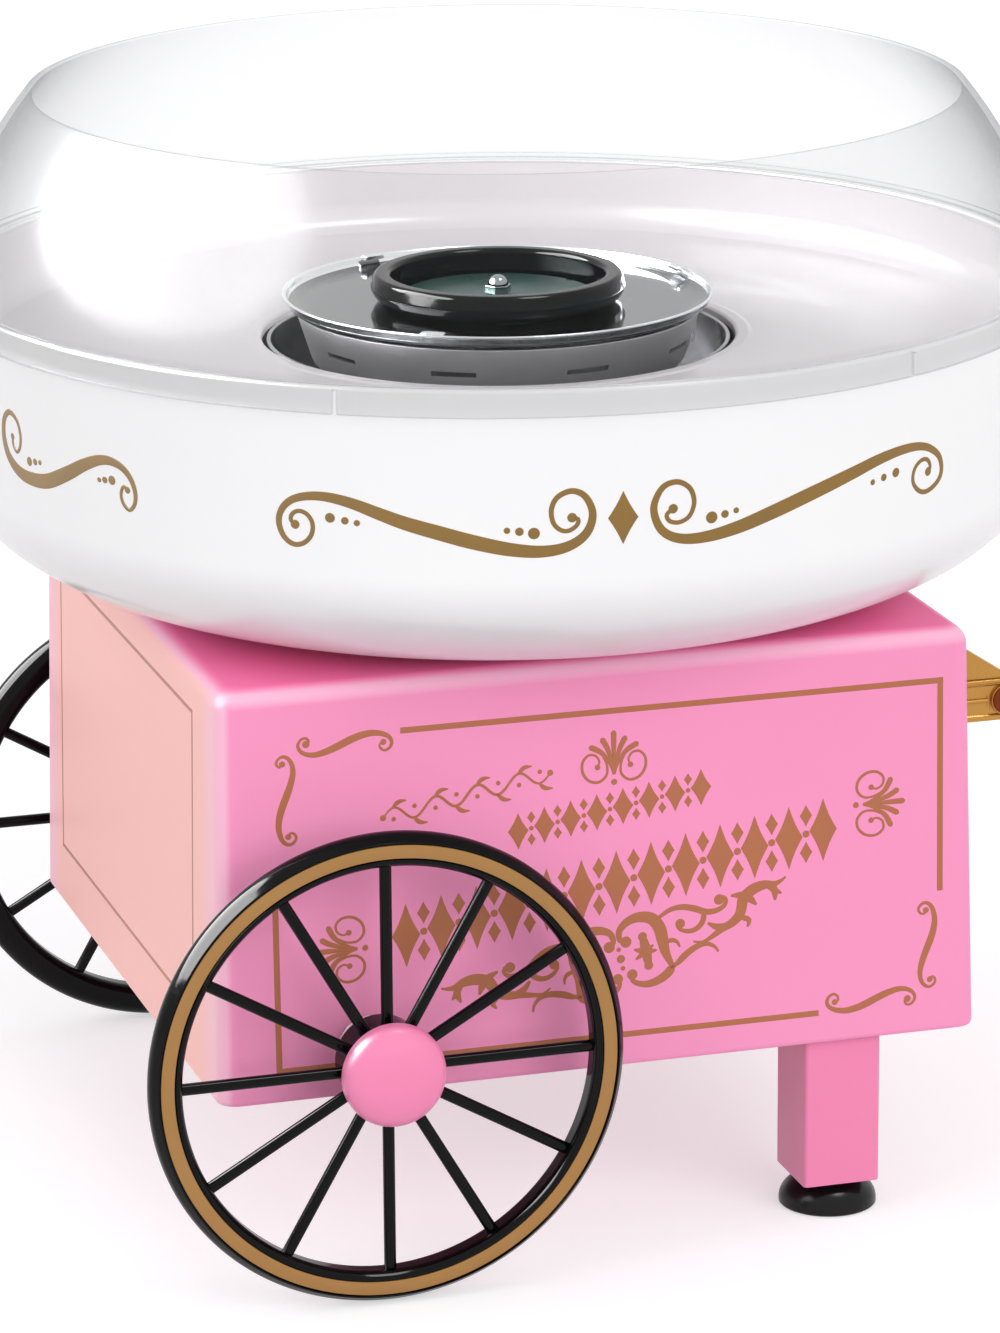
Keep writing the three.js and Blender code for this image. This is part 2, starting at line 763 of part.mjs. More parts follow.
// The shallow dish that catches the floss, with a hole for the head
function bowlTray() {
  const wallRadius = bowlRimRadius - bowlWall - seatGap;
  const seatRadius = wallRadius - trayLedgeDepth - 1;
  const seatZ = trayLedgeZ + seatGap;
  const wallTopZ = bowlRimZ - seatGap;
  const inside = wallRadius - trayWall;
  const cornerCentre = [inside - trayCornerWidth, trayFloorZ + trayCornerRise];
  const corner = arcPoints(cornerCentre, [trayCornerWidth, trayCornerHeight], 0, -1.22, 3);
  const profile = [
    [trayHoleRadius, trayHoleZ - trayWall],
    [trayFloorRadius, trayFloorZ - trayWall],
    [seatRadius - 6, trayFloorZ - trayWall / 2],
    [seatRadius, seatZ],
    [wallRadius, seatZ],
    [wallRadius, wallTopZ],
    [inside + bowlRimEdge, wallTopZ],
    ...corner,
    [trayFloorRadius, trayFloorZ],
    [trayHoleRadius + trayHoleBead, trayHoleZ],
    [trayHoleRadius + bowlRimEdge, trayHoleZ],
    [trayHoleRadius, trayHoleZ - bowlRimEdge],
  ];
  return turned(profile, largeSides);
}

// Points of a bulging wall between two corners of the profile
function bulgedWall([fromR, fromZ], [toR, toZ], bulge, steps) {
  const length = Math.hypot(toR - fromR, toZ - fromZ);
  const outwardR = (toZ - fromZ) / length;
  const outwardZ = (fromR - toR) / length;
  return Array.from({ length: steps + 1 }, (_, i) => {
    const t = i / steps;
    const push = 4 * bulge * t * (1 - t);
    return [fromR + (toR - fromR) * t + outwardR * push, fromZ + (toZ - fromZ) * t + outwardZ * push];
  });
}

// The clear guard: a slit skirt outside the bowl's rim, a ledge on the rim and a wall that leans in
function flossGuard() {
  const skirtInner = bowlRimRadius + guardSkirtGap;
  const skirtOuter = skirtInner + guardWall;
  const ledgeZ = bowlRimZ + seatGap;
  const wallFoot = skirtOuter - 2 * guardShoulderBevel;
  const beadZ = guardTopZ - guardWall / 4;
  const wall = (inset) =>
    bulgedWall([wallFoot - inset, guardShoulderZ], [guardMouthRadius - inset, beadZ], guardBulge, guardSteps);
  const ring = turned(
    [
      [skirtInner, guardSkirtBottomZ],
      [skirtOuter, guardSkirtBottomZ],
      [skirtOuter, guardShoulderZ - guardShoulderBevel],
      [skirtOuter - guardShoulderBevel, guardShoulderZ],
      ...wall(0),
      [guardMouthRadius - guardWall / 2, guardTopZ],
      ...wall(guardWall).reverse(),
      [wallFoot - guardWall, ledgeZ],
      [skirtInner, ledgeZ],
    ],
    largeSides,
  );
  const slits = around(guardSlitCount).map((angle) =>
    block(4 * guardWall, guardSlitWidth, guardSlitHeight, [
      skirtInner + guardWall,
      0,
      guardSkirtBottomZ + guardSlitHeight / 2 - 1,
    ]).rotateZ(angle + guardSlitTurn),
  );
  return cut(ring, ...slits);
}

function heaterPedestal() {
  const topZ = wellFloorZ - seatGap;
  const inner = pedestalRadius - pedestalWall;
  const flangeRadius = pedestalRadius + pedestalFlangeWidth;
  return turned([
    [inner, pedestalZ],
    [flangeRadius, pedestalZ],
    [flangeRadius, pedestalZ + pedestalWall],
    [pedestalRadius, pedestalZ + pedestalWall],
    [pedestalRadius, topZ],
    [pedestalRadius - pedestalTopWidth, topZ],
    [pedestalRadius - pedestalTopWidth, topZ - pedestalWall],
    [inner, topZ - pedestalWall],
  ]);
}

// The element's two straight terminals, or their holes when the radius is larger
const terminals = (radius) =>
  [-1, 1].map((side) => {
    const place = { at: [elementRadius, 0], sides: smallSides };
    return rod(radius, elementZ - elementTerminalDrop, elementZ, place).rotateZ(side * elementTerminalAngle);
  });

function heaterWell() {
  const profile = [
    [wellHoleRadius, wellFloorZ],
    [wellRadius, wellFloorZ],
    [wellRadius, wellRimZ],
    [wellRadius - wellWall, wellRimZ],
    [wellRadius - wellWall, wellFloorZ + wellWall],
    [wellHoleRadius, wellFloorZ + wellWall],
  ];
  return cut(turned(profile, largeSides), ...terminals(elementTerminalRadius + 1));
}

function elementSeat() {
  const half = elementTubeRadius + 1;
  const topZ = elementSeatZ + elementSeatHeight;
  const seat = washer(elementRadius - half, elementRadius + half, elementSeatZ, topZ);
  return cut(seat, ...terminals(elementTerminalRadius + seatGap));
}

function heatingElement() {
  const size = [elementTubeRadius, elementTubeRadius];
  const circle = arcPoints([elementRadius, elementZ], size, 0, 2 * Math.PI, 6);
  return join(turned(circle.slice(0, -1)), ...terminals(elementTerminalRadius));
}

// The spinning cup that melts the sugar, with slots in its wall and a tube around the shaft
function sugarCup() {
  const topZ = discZ - seatGap;
  const bore = shaftRadius + seatGap;
  const tubeTopZ = hubPlateZ - seatGap;
  const slotZ = (sugarCupFloorZ + topZ) / 2;
  const slotRadius = (sugarCupFloorRadius + sugarCupRimRadius) / 2;
  const cup = turned([
    [bore, sugarCupFloorZ],
    [sugarCupFloorRadius, sugarCupFloorZ],
    [sugarCupRimRadius, topZ],
    [sugarCupRimRadius - sugarCupWall, topZ],
    [sugarCupFloorRadius - sugarCupWall, sugarCupFloorZ + sugarCupWall],
    [hubTubeRadius, sugarCupFloorZ + sugarCupWall],
    [hubTubeRadius, tubeTopZ],
    [bore, tubeTopZ],
  ]);
  const slots = around(sugarCupSlotCount).map((angle) =>
    block(8 * sugarCupWall, sugarCupSlotLength, sugarCupSlotHeight, [slotRadius, 0, slotZ]).rotateZ(angle),
  );
  return cut(cup, ...slots);
}

function extractorDisc() {
  const lip = discLipWidth;
  const profile = [
    [discHoleRadius, discZ],
    [discFlatRadius, discZ],
    [discRadius - lip, discZ + lip],
    [discRadius, discZ + 2 * lip],
    [discRadius, discLipZ - lip / 2],
    [discRadius - lip / 2, discLipZ],
    [discRadius - lip, discLipZ - lip / 2],
    [discRadius - 1.6 * lip, discZ + 2.4 * lip],
    [discFlatRadius, discZ + discThickness],
    [discHoleRadius, discZ + discThickness],
  ];
  return turned(profile, largeSides);
}

// A ring that sits on the disc: it widens up to its waist and rounds over to a narrow flat top
function extractorRing() {
  const bottomZ = hubPlateZ;
  const topZ = bottomZ + ringHeight;
  const outerRadius = ringInnerRadius + ringWidth;
  const innerEdge = ringWidth / 6;
  return turned(
    [
      [ringInnerRadius, bottomZ],
      [outerRadius - 0.54 * ringWidth, bottomZ],
      [outerRadius - 0.18 * ringWidth, bottomZ + 0.21 * ringHeight],
      [outerRadius, bottomZ + 0.48 * ringHeight],
      [outerRadius - 0.07 * ringWidth, topZ - 0.24 * ringHeight],
      [outerRadius - 0.29 * ringWidth, topZ - 0.05 * ringHeight],
      [outerRadius - 0.5 * ringWidth, topZ],
      [ringInnerRadius + innerEdge, topZ],
      [ringInnerRadius, topZ - innerEdge],
    ],
    largeSides,
  );
}

function acornNut() {
  const domeRadius = acornHeight - acornHexHeight;
  const hexTopZ = acornZ + acornHexHeight;
  const hexagon = rod(acornAcrossCorners / 2, acornZ, hexTopZ, { sides: 6 });
  const dome = new THREE.SphereGeometry(domeRadius, smallSides, smallSides / 2).translate(0, 0, hexTopZ);
  const bore = rod(shaftTipRadius + seatGap, acornZ - domeRadius, hexTopZ + seatGap, { sides: smallSides });
  const flat = block(4 * domeRadius, 4 * domeRadius, 2 * domeRadius, [0, 0, acornZ - domeRadius]);
  return cut(join(hexagon, dome), flat, bore);
}

function driveShaft() {
  const bottomZ = fanTopZ - fanHeight - shaftBelowFan;
  const shoulderZ = hubPlateZ - seatGap;
  const tipZ = acornZ + acornHexHeight;
  const profile = [
    [0, bottomZ],
    [shaftRadius, bottomZ],
    [shaftRadius, shoulderZ],
    [shaftTipRadius, shoulderZ],
    [shaftTipRadius, tipZ],
    [0, tipZ],
  ];
  return turned(profile, smallSides);
}

function coolingFan() {
  const hub = washer(shaftRadius + seatGap, fanHubRadius, fanTopZ - fanHeight, fanTopZ);
  const bladeLength = fanRadius - fanHubRadius + 1;
  const bladeWidth = fanHeight - 1;
  const blades = around(fanBladeCount).map((angle) =>
    new THREE.BoxGeometry(bladeLength, fanBladeThickness, bladeWidth)
      .rotateX(fanBladePitch)
      .translate(fanHubRadius - 1 + bladeLength / 2, 0, fanTopZ - fanHeight / 2)
      .rotateZ(angle),
  );
  return join(hub, ...blades);
}

function motorBracket() {
  const topZ = bracketZ + bracketThickness;
  const plate = washer(motorBushRadius + bracketHoleMargin, bracketRadius, bracketZ, topZ);
  const holes = bracketScrews.map((at) =>
    rod(screwRadius + seatGap, bracketZ - 1, topZ + 1, { at, sides: smallSides }),
  );
  return cut(plate, ...holes);
}

function motorCan() {
  const inner = motorRadius - motorWall;
  const bore = motorBushRadius + seatGap;
  return turned(
    [
      [inner, motorBottomZ],
      [motorRadius, motorBottomZ],
      [motorRadius, motorTopZ],
      [bore, motorTopZ],
      [bore, motorTopZ - motorWall],
      [inner, motorTopZ - motorWall],
    ],
    mediumSides,
  );
}

function rotorCore() {
  const radius = magnetInnerRadius - rotorAirGap;
  const bottomZ = motorMiddleZ - rotorHeight / 2;
  const core = washer(shaftRadius + seatGap, radius, bottomZ, bottomZ + rotorHeight);
  const slots = around(rotorSlotCount).map((angle) =>
    block(2 * rotorSlotDepth, rotorSlotWidth, rotorHeight + 2, [radius, 0, motorMiddleZ]).rotateZ(angle),
  );
  return cut(core, ...slots);
}

// The switch and the gland are built against a wall whose outside is y = 0, then set into the leaning wall
const wallLean = Math.atan(draftPerSideY);

function onBackWall(x, z) {
  const place = new THREE.Group();
  place.position.set(x, sideY(z), z);
  place.rotation.x = wallLean;
  machine.add(place);
  return place;
}

function switchBezel() {
  const plate = block(
    switchOpeningWidth + 2 * switchBezelMargin,
    switchBezelThickness,
    switchOpeningHeight + 2 * switchBezelMargin,
    [0, seatGap + switchBezelThickness / 2, 0],
  );
  const bodyWidth = switchOpeningWidth - 2 * seatGap;
  const bodyHeight = switchOpeningHeight - 4 * seatGap;
  const bodyMiddle = [0, (1 - switchBodyDepth) / 2, 0];
  const body = block(bodyWidth, switchBodyDepth + 1, bodyHeight, bodyMiddle);
  const pocketTop = seatGap + switchBezelThickness + 1;
  const pocketWidth = rockerWidth + 2 * runningGap;
  const pocketHeight = rockerHeight + 2 * rockerTipGap;
  const pocketMiddle = [0, (pocketTop - rockerPocketDepth) / 2, 0];
  const pocket = block(pocketWidth, rockerPocketDepth + pocketTop, pocketHeight, pocketMiddle);
  return cut(join(plate, body), pocket);
}

// A rocker with a shallow crown, tilted to its off position about the pivot
function switchRocker() {
  const half = rockerHeight / 2;
  const waist = half - 0.5;
  const keelHalf = half / 2.5;
  const side = [
    [rockerShoulder, -half],
    [rockerCrown, 0],
    [rockerShoulder, half],
    [-rockerPivotDepth, waist],
    [-rockerKeel, keelHalf],
    [-rockerKeel, -keelHalf],
    [-rockerPivotDepth, -waist],
  ];
  return upright(side, rockerWidth)
    .translate(rockerPivotDepth, 0, -rockerWidth / 2)
    .applyMatrix4(new THREE.Matrix4().set(0, 0, 1, 0, 1, 0, 0, 0, 0, 1, 0, 0, 0, 0, 0, 1))
    .rotateX(-rockerTilt)
    .translate(0, -rockerPivotDepth, 0);
}

function cordGland() {
  const flangeZ = seatGap + glandFlangeThickness;
  const flangeBevel = glandFlangeThickness / 3;
  return turned(
    [
      [glandBoreRadius, -glandDepth],
      [glandRadius, -glandDepth],
      [glandRadius, seatGap],
      [glandFlangeRadius, seatGap],
      [glandFlangeRadius, flangeZ - flangeBevel],
      [glandFlangeRadius - 1.5 * flangeBevel, flangeZ],
      [glandBoreRadius, flangeZ],
    ],
    mediumSides,
  ).rotateX(-Math.PI / 2);
}

function terminalBlock() {
  const centre = [terminalX, terminalY, terminalMiddleZ];
  const body = block(terminalLength, terminalWidth, terminalHeight, centre);
  const ways = Array.from({ length: terminalWayCount }, (_, i) => {
    const x = terminalX + ((i + 0.5) / terminalWayCount - 0.5) * terminalLength;
    const place = { at: [x, terminalY], sides: smallSides };
    return rod(terminalWayRadius, terminalMiddleZ, terminalTopZ + 1, place);
  });
  return cut(body, ...ways);
}

const pairs = [
  ["front", -1],
  ["back", 1],
];

add("cart_body", cartBody(), "pink");
add("base_plate", basePlate(), "pink");
screwPosts.forEach(([x, y], i) => {
  add(`base_screw_${i + 1}`, screw(), "steel").position.set(x, y, basePlateZ - seatGap);
});

for (const [name, side] of pairs) {
  const corner = new THREE.Group();
  corner.position.set(legCentreX, side * legCentreY, 0);
  machine.add(corner);
  add(`leg_${name}`, leg(), "pink", corner);
  add(`suction_cup_${name}`, suctionCup(), "rubber", corner);
  add(`leg_screw_${name}`, screw().rotateX(Math.PI), "steel", corner).position.z = basePlateTopZ + seatGap;
}

// Each wheel's Z points away from the cart
for (const [name, side] of pairs) {
  const axleEnd = new THREE.Group();
  axleEnd.position.set(axleX, side * wheelFaceY, wheelZ);
  axleEnd.rotation.x = (-side * Math.PI) / 2;
  machine.add(axleEnd);
  add(`wheel_${name}`, wheel(), "black", axleEnd);
  const band = washer(bandInnerRadius, bandOuterRadius, -bandThickness, 0, largeSides);
  add(`wheel_band_${name}`, band, "gold", axleEnd);
  add(`hub_cap_${name}`, hubCap(), "pink", axleEnd);
  const nutTop = runningGap + pushNutThickness;
  const nut = washer(axleRadius + seatGap, pushNutRadius, runningGap, nutTop, smallSides);
  add(`push_nut_${name}`, nut, "steel", axleEnd);
  add(`axle_bush_${name}`, axleBush(), "nylon", axleEnd).position.z = -wheelFaceY;
}
add("axle", rod(axleRadius, -axleEndY, axleEndY, { axis: "y", at: [axleX, wheelZ] }), "steel");

for (const [name, side] of pairs) {
  add(`handle_arm_${name}`, handleArm(), "gold").position.y = side * handleArmY;
  const fixing = add(`handle_screw_${name}`, screw().rotateY(Math.PI / 2), "steel");
  fixing.position.set(endX(handleMiddleZ) - cartWall - seatGap, side * handleArmY, handleMiddleZ);
}
const barEndY = handleArmY + handleArmThickness / 2 + handleBarOverhang;
const bar = rod(handleBarRadius, -barEndY, barEndY, { axis: "y", at: [handleBarX, handleMiddleZ] });
add("handle_bar", bar, "gold");

add("bowl_shell", bowlShell(), "white");
add("bowl_tray", bowlTray(), "white");
add("floss_guard", flossGuard(), "clear");

add("heater_pedestal", heaterPedestal(), "aluminium");
add("heater_well", heaterWell(), "steel");
add("element_seat", elementSeat(), "ceramic");
add("heating_element", heatingElement(), "steel");

add("sugar_cup", sugarCup(), "aluminium");
add("extractor_disc", extractorDisc(), "chrome");
add("extractor_ring", extractorRing(), "black");
const hubPlateTopZ = hubPlateZ + hubPlateThickness;
add("hub_plate", washer(shaftTipRadius + seatGap, hubPlateRadius, hubPlateZ, hubPlateTopZ), "teal");
add("acorn_nut", acornNut(), "chrome");
add("drive_shaft", driveShaft(), "steel");

add("motor_bracket", motorBracket(), "steel");
bracketScrews.forEach(([x, y], i) => {
  add(`bracket_screw_${i + 1}`, screw(bracketScrewLength), "steel").position.set(x, y, bracketZ - seatGap);
});
const mountOuter = mountRingRadius + mountRingWall / 2;
const mountInner = mountRingRadius - mountRingWall / 2;
add("motor_mount", washer(mountInner, mountOuter, mountRingZ, mountRingZ + mountRingHeight), "rubber");
add("motor_can", motorCan(), "steel");
const motorCapTopZ = motorCapZ + motorCapThickness;
add("motor_end_cap", washer(motorBushRadius + seatGap, motorRadius, motorCapZ, motorCapTopZ), "black");
const motorBush = (bottomZ) =>
  washer(shaftRadius + runningGap, motorBushRadius, bottomZ, bottomZ + motorBushHeight, smallSides);
add("motor_bush_top", motorBush(motorTopZ + motorBushReach - motorBushHeight), "bronze");
add("motor_bush_bottom", motorBush(motorCapZ - motorBushReach), "bronze");
const magnetOuter = magnetInnerRadius + magnetWall;
const magnetZ = motorMiddleZ - magnetHeight / 2;
add("ring_magnet", washer(magnetInnerRadius, magnetOuter, magnetZ, magnetZ + magnetHeight), "black");
add("rotor_core", rotorCore(), "steel");
add("cooling_fan", coolingFan(), "nylon");

const switchPlace = onBackWall(switchX, switchZ);
add("switch_bezel", switchBezel(), "black", switchPlace);
add("switch_rocker", switchRocker(), "black", switchPlace);
add("cord_gland", cordGland(), "black", onBackWall(glandX, glandZ));
add("terminal_block", terminalBlock(), "nylon");

// Internal leads: from the gland to the terminals, and from the terminals to the motor and the switch
const glandInnerY = sideY(glandZ) - glandDepth;
const supplyEndX = terminalX + terminalLength / 2 + seatGap;
const supplyPath = [
  [glandX, glandInnerY + leadInGland, glandZ],
  [glandX, glandInnerY, glandZ],
  [glandX, glandInnerY - leadBend, glandZ - leadStraight],
  [supplyEndX + 1.5 * leadStraight, terminalY + 1.5 * leadStraight, terminalMiddleZ + leadStraight / 2],
  [supplyEndX + leadStraight / 2, terminalY, terminalMiddleZ],
  [supplyEndX, terminalY, terminalMiddleZ],
];
const motorStartX = terminalX - terminalLength / 2 - seatGap;
const besideMotor = (gap, z) => [
  (motorRadius + gap) * Math.cos(motorLeadAngle),
  (motorRadius + gap) * Math.sin(motorLeadAngle),
  z,
];
const motorPath = [
  [motorStartX, terminalY, terminalMiddleZ],
  [motorStartX - leadStraight, terminalY, terminalMiddleZ],
  besideMotor(1.6 * leadBend, terminalMiddleZ + leadBend),
  besideMotor(1.5 * leadBend, motorMiddleZ - 2 * leadBend),
  besideMotor(leadBend, motorMiddleZ - leadStraight),
  besideMotor(leadStraight, motorMiddleZ),
  besideMotor(seatGap, motorMiddleZ),
];
const switchBackY = sideY(switchZ) - switchBodyDepth;
const switchPath = [
  [switchX, terminalY, terminalTopZ + seatGap],
  [switchX, terminalY, terminalTopZ + 1.5 * leadStraight],
  [switchX, terminalY + leadBend, switchZ - leadBend],
  [switchX, switchBackY - 2 * leadStraight, switchZ],
  [switchX, switchBackY - seatGap, switchZ],
];
add("lead_supply", tubeAlong(supplyPath, leadRadius, leadSteps), "black");
add("lead_motor", tubeAlong(motorPath, leadRadius, leadSteps), "black");
add("lead_switch", tubeAlong(switchPath, leadRadius, leadSteps), "black");

export default machine;
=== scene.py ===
"""Looks of a counter-top cotton candy machine in the shape of a two-wheeled carnival cart.

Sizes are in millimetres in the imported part's frame, and become metres where a mesh is made. +X runs from
the wheels to the push handle, the printed long side faces -Y and the bowl's axis is the Z axis.
"""
import logging
import math
from dataclasses import dataclass, field, replace
from enum import Enum
from functools import cached_property
from typing import Callable, ClassVar, Sequence

import bpy
import numpy as np
from mathutils import Matrix


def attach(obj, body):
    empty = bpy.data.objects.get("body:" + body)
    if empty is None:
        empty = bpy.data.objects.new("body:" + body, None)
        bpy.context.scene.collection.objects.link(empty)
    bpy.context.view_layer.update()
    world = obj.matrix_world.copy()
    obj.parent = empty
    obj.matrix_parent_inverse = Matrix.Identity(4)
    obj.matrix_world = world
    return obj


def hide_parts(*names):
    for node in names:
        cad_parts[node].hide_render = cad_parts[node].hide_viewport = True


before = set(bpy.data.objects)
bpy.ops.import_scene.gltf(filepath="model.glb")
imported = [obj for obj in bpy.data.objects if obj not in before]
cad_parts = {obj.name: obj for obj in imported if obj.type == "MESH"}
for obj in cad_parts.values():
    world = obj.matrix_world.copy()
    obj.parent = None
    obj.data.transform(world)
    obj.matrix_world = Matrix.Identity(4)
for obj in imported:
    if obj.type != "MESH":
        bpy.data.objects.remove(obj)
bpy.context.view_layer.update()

Array = np.ndarray
Object = bpy.types.Object
Socket = bpy.types.NodeSocket
Surface = Callable[[Array, Array, Array], Array]
Pair = tuple[float, float]
Triple = tuple[float, float, float]
Route = tuple[Pair, ...]
Spots = tuple[Triple, ...]

MM = 0.001
PHOTO_FRAME = (1000, 1333)
SIDES = (("front", -1), ("back", 1))
RIDGE_ACROSS = np.array([-1, -1, -0.8, 0.8, 1, 1])
log = logging.getLogger("cotton_candy_cart")


class Body(str, Enum):
    """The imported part's rigid bodies."""

    CART = "cart"
    WHEEL_FRONT = "wheel_front"
    WHEEL_BACK = "wheel_back"
    HEAD = "head"
    BOWL = "bowl"
    GUARD = "guard"
    ROCKER = "rocker"


class Slot(str, Enum):
    """The record's material slots, named for each new piece."""

    PINK = "pink_plastic"
    WHITE = "white_plastic"
    CLEAR = "clear_plastic"
    BLACK = "black_plastic"
    RUBBER = "black_rubber"
    GOLD = "gold_plastic"
    BAND = "gold_band"
    CHROME = "chrome"
    STEEL = "steel"
    DARK_STEEL = "dark_steel"
    ALUMINIUM = "aluminium"
    TEAL = "teal_plate"


class Axis(Enum):
    """Which way a turned piece's own Z axis points once it is placed."""

    FORWARD = Matrix.Rotation(math.pi / 2, 4, "X")
    BACKWARD = Matrix.Rotation(-math.pi / 2, 4, "X")
    RIGHT = Matrix.Rotation(math.pi / 2, 4, "Y")


# Shapes worked out with numpy


@dataclass
class Shell:
    """A closed skin: its points in millimetres, and index rows of its faces, grouped by corner count."""

    points: Array
    faces: list[Array]

    def moved(self, matrix: Matrix) -> "Shell":
        """The skin with a 4 x 4 matrix applied to its points."""
        m = np.array(matrix)
        return Shell(self.points @ m[:3, :3].T + m[:3, 3], self.faces)

    def shifted(self, offset: Sequence[float]) -> "Shell":
        """The skin carried along an offset."""
        return self.moved(Matrix.Translation(offset))

    def placed(self, axis: Axis, at: Sequence[float]) -> "Shell":
        """The skin turned to an axis and carried to a place."""
        return self.moved(Matrix.Translation(at) @ axis.value)

    def copies(self, turns: Sequence[float]) -> list["Shell"]:
        """The skin turned about the Z axis by each of several angles in radians."""
        return [self.moved(Matrix.Rotation(turn, 4, "Z")) for turn in turns]

    def facing_out(self) -> "Shell":
        """The skin with its faces turned round where they look inwards.

        Six times the volume inside is the sum, over its triangles, of a corner's product with the cross
        product of the other two. It is negative when the faces look inwards.

        Returns:
            The skin itself, or a copy with each face's order reversed.
        """
        volume = 0.0
        for group in self.faces:
            first = self.points[group[:, 0]]
            for k in range(1, group.shape[1] - 1):
                a, b = self.points[group[:, k]], self.points[group[:, k + 1]]
                volume += float((first * np.cross(a, b)).sum())
        return self if volume >= 0 else Shell(self.points, [group[:, ::-1] for group in self.faces])


def even_turns(count: int, first: float = 0.0) -> list[float]:
    """Angles in radians that share a full turn evenly."""
    return [2 * math.pi * i / count + first for i in range(count)]


def plane_turn(angle: float) -> Array:
    """The matrix that turns rows of flat points by an angle in radians."""
    return np.array([[math.cos(angle), math.sin(angle)], [-math.sin(angle), math.cos(angle)]])


def joined(shells: Sequence[Shell]) -> Shell:
    """Several skins as one, with the face indices moved past the points before them.

    Args:
        shells: the skins.

    Returns:
        One skin that holds them all.
    """
    starts = np.cumsum([0] + [len(s.points) for s in shells[:-1]])
    faces = [group + start for s, start in zip(shells, starts) for group in s.faces]
    return Shell(np.vstack([s.points for s in shells]), faces)


def grid_shell(points: Array, wrap_rows: bool = False, caps: bool = True) -> Shell:
    """A skin through a grid of points whose columns always close on themselves.

    Args:
        points: rows x columns x 3, the surface as a function of two parameters.
        wrap_rows: whether the last row joins the first.
        caps: whether the first and last rows are closed by one flat face each.

    Returns:
        The skin, with its faces looking out.
    """
    rows, columns = points.shape[:2]
    row = np.arange(rows if wrap_rows else rows - 1)[:, None]
    column = np.arange(columns)[None, :]
    beside, above = (column + 1) % columns, (row + 1) % rows
    low, high = row * columns, above * columns
    corners = (low + column, low + beside, high + beside, high + column)
    faces = [np.stack([c.ravel() for c in corners], axis=1)]
    if caps and not wrap_rows:
        ring = np.arange(columns)
        faces += [ring[None, ::-1], ring[None, :] + (rows - 1) * columns]
    return Shell(points.reshape(-1, 3), faces).facing_out()


def turned(profile: Array, sides: int = 192) -> Shell:
    """A profile of (radius, height) carried round the Z axis: x = r cos a, y = r sin a.

    A profile that starts and ends on the axis is closed there by fans, and any other one closes on itself.

    Args:
        profile: points as (radius, height).
        sides: steps in the full turn.

    Returns:
        The closed skin.
    """
    on_axis = profile[0, 0] < 1e-9 and profile[-1, 0] < 1e-9
    ring = profile[1:-1] if on_axis else profile
    angle = np.linspace(0, 2 * math.pi, sides, endpoint=False)
    radius, height = ring[:, :1], np.repeat(ring[:, 1:], sides, axis=1)
    points = np.stack([radius * np.cos(angle), radius * np.sin(angle), height], axis=-1)
    shell = grid_shell(points, wrap_rows=not on_axis, caps=False)
    if not on_axis:
        return shell
    poles = np.array([[0, 0, profile[0, 1]], [0, 0, profile[-1, 1]]])
    count, last = len(shell.points), (len(ring) - 1) * sides
    here = np.arange(sides)
    after = (here + 1) % sides
    low = np.stack([np.full(sides, count), after, here], axis=1)
    high = np.stack([np.full(sides, count + 1), last + here, last + after], axis=1)
    rows = len(ring) - 1
    quads = np.stack([here, after, after + sides, here + sides], axis=1)
    body = (quads[None] + (np.arange(rows) * sides)[:, None, None]).reshape(-1, 4)
    return Shell(np.vstack([shell.points, poles]), [body, low, high]).facing_out()


def arc(centre: Sequence[float], radii: Sequence[float], start: float, end: float, steps: int) -> Array:
    """Points on an ellipse from one angle to another in degrees, ends included."""
    angle = np.radians(np.linspace(start, end, steps + 1))
    return np.stack([centre[0] + radii[0] * np.cos(angle), centre[1] + radii[1] * np.sin(angle)], axis=1)


def rounded(corners: Sequence[Sequence[float]], radii: float | Sequence[float], steps: int = 5) -> Array:
    """A profile whose corners are rounded.

    Each corner becomes a quadratic curve between the two points that lie a radius away along its edges, and
    never past their middles. A corner with radius 0 stays as it is.

    Args:
        corners: the profile's corners.
        radii: one radius, or one for each corner.
        steps: straight pieces in each curve.

    Returns:
        The points of the rounded profile.
    """
    points = np.asarray(corners, float)
    reach = np.broadcast_to(np.asarray(radii, float), len(points))
    back, ahead = np.roll(points, 1, axis=0) - points, np.roll(points, -1, axis=0) - points
    back_length, ahead_length = np.linalg.norm(back, axis=1), np.linalg.norm(ahead, axis=1)
    reach = np.minimum(reach, 0.5 * np.minimum(back_length, ahead_length))[:, None]
    start, end = points + back / back_length[:, None] * reach, points + ahead / ahead_length[:, None] * reach
    u = np.linspace(0, 1, steps + 1)[None, :, None]
    curve = (1 - u) ** 2 * start[:, None] + 2 * u * (1 - u) * points[:, None] + u**2 * end[:, None]
    flat = curve.reshape(-1, points.shape[1])
    apart = np.linalg.norm(np.diff(flat, axis=0), axis=1) > 1e-7
    return flat[np.concatenate([[True], apart])]


def rounded_rectangle(length: float, width: float, corner: float, steps: int = 8) -> Array:
    """Points of a rectangle with quarter circles at its corners, anticlockwise.

    Args:
        length: its size along x.
        width: its size along y.
        corner: the corners' radius.
        steps: straight pieces in each quarter.

    Returns:
        The outline, one point in each row.
    """
    quarter = np.arange(4)[:, None]
    angle = (quarter + np.linspace(0, 1, steps + 1)[None]) * math.pi / 2
    side_x, side_y = np.array([1, -1, -1, 1])[:, None], np.array([1, 1, -1, -1])[:, None]
    x = side_x * (length / 2 - corner) + corner * np.cos(angle)
    y = side_y * (width / 2 - corner) + corner * np.sin(angle)
    return np.stack([x.ravel(), y.ravel()], axis=1)


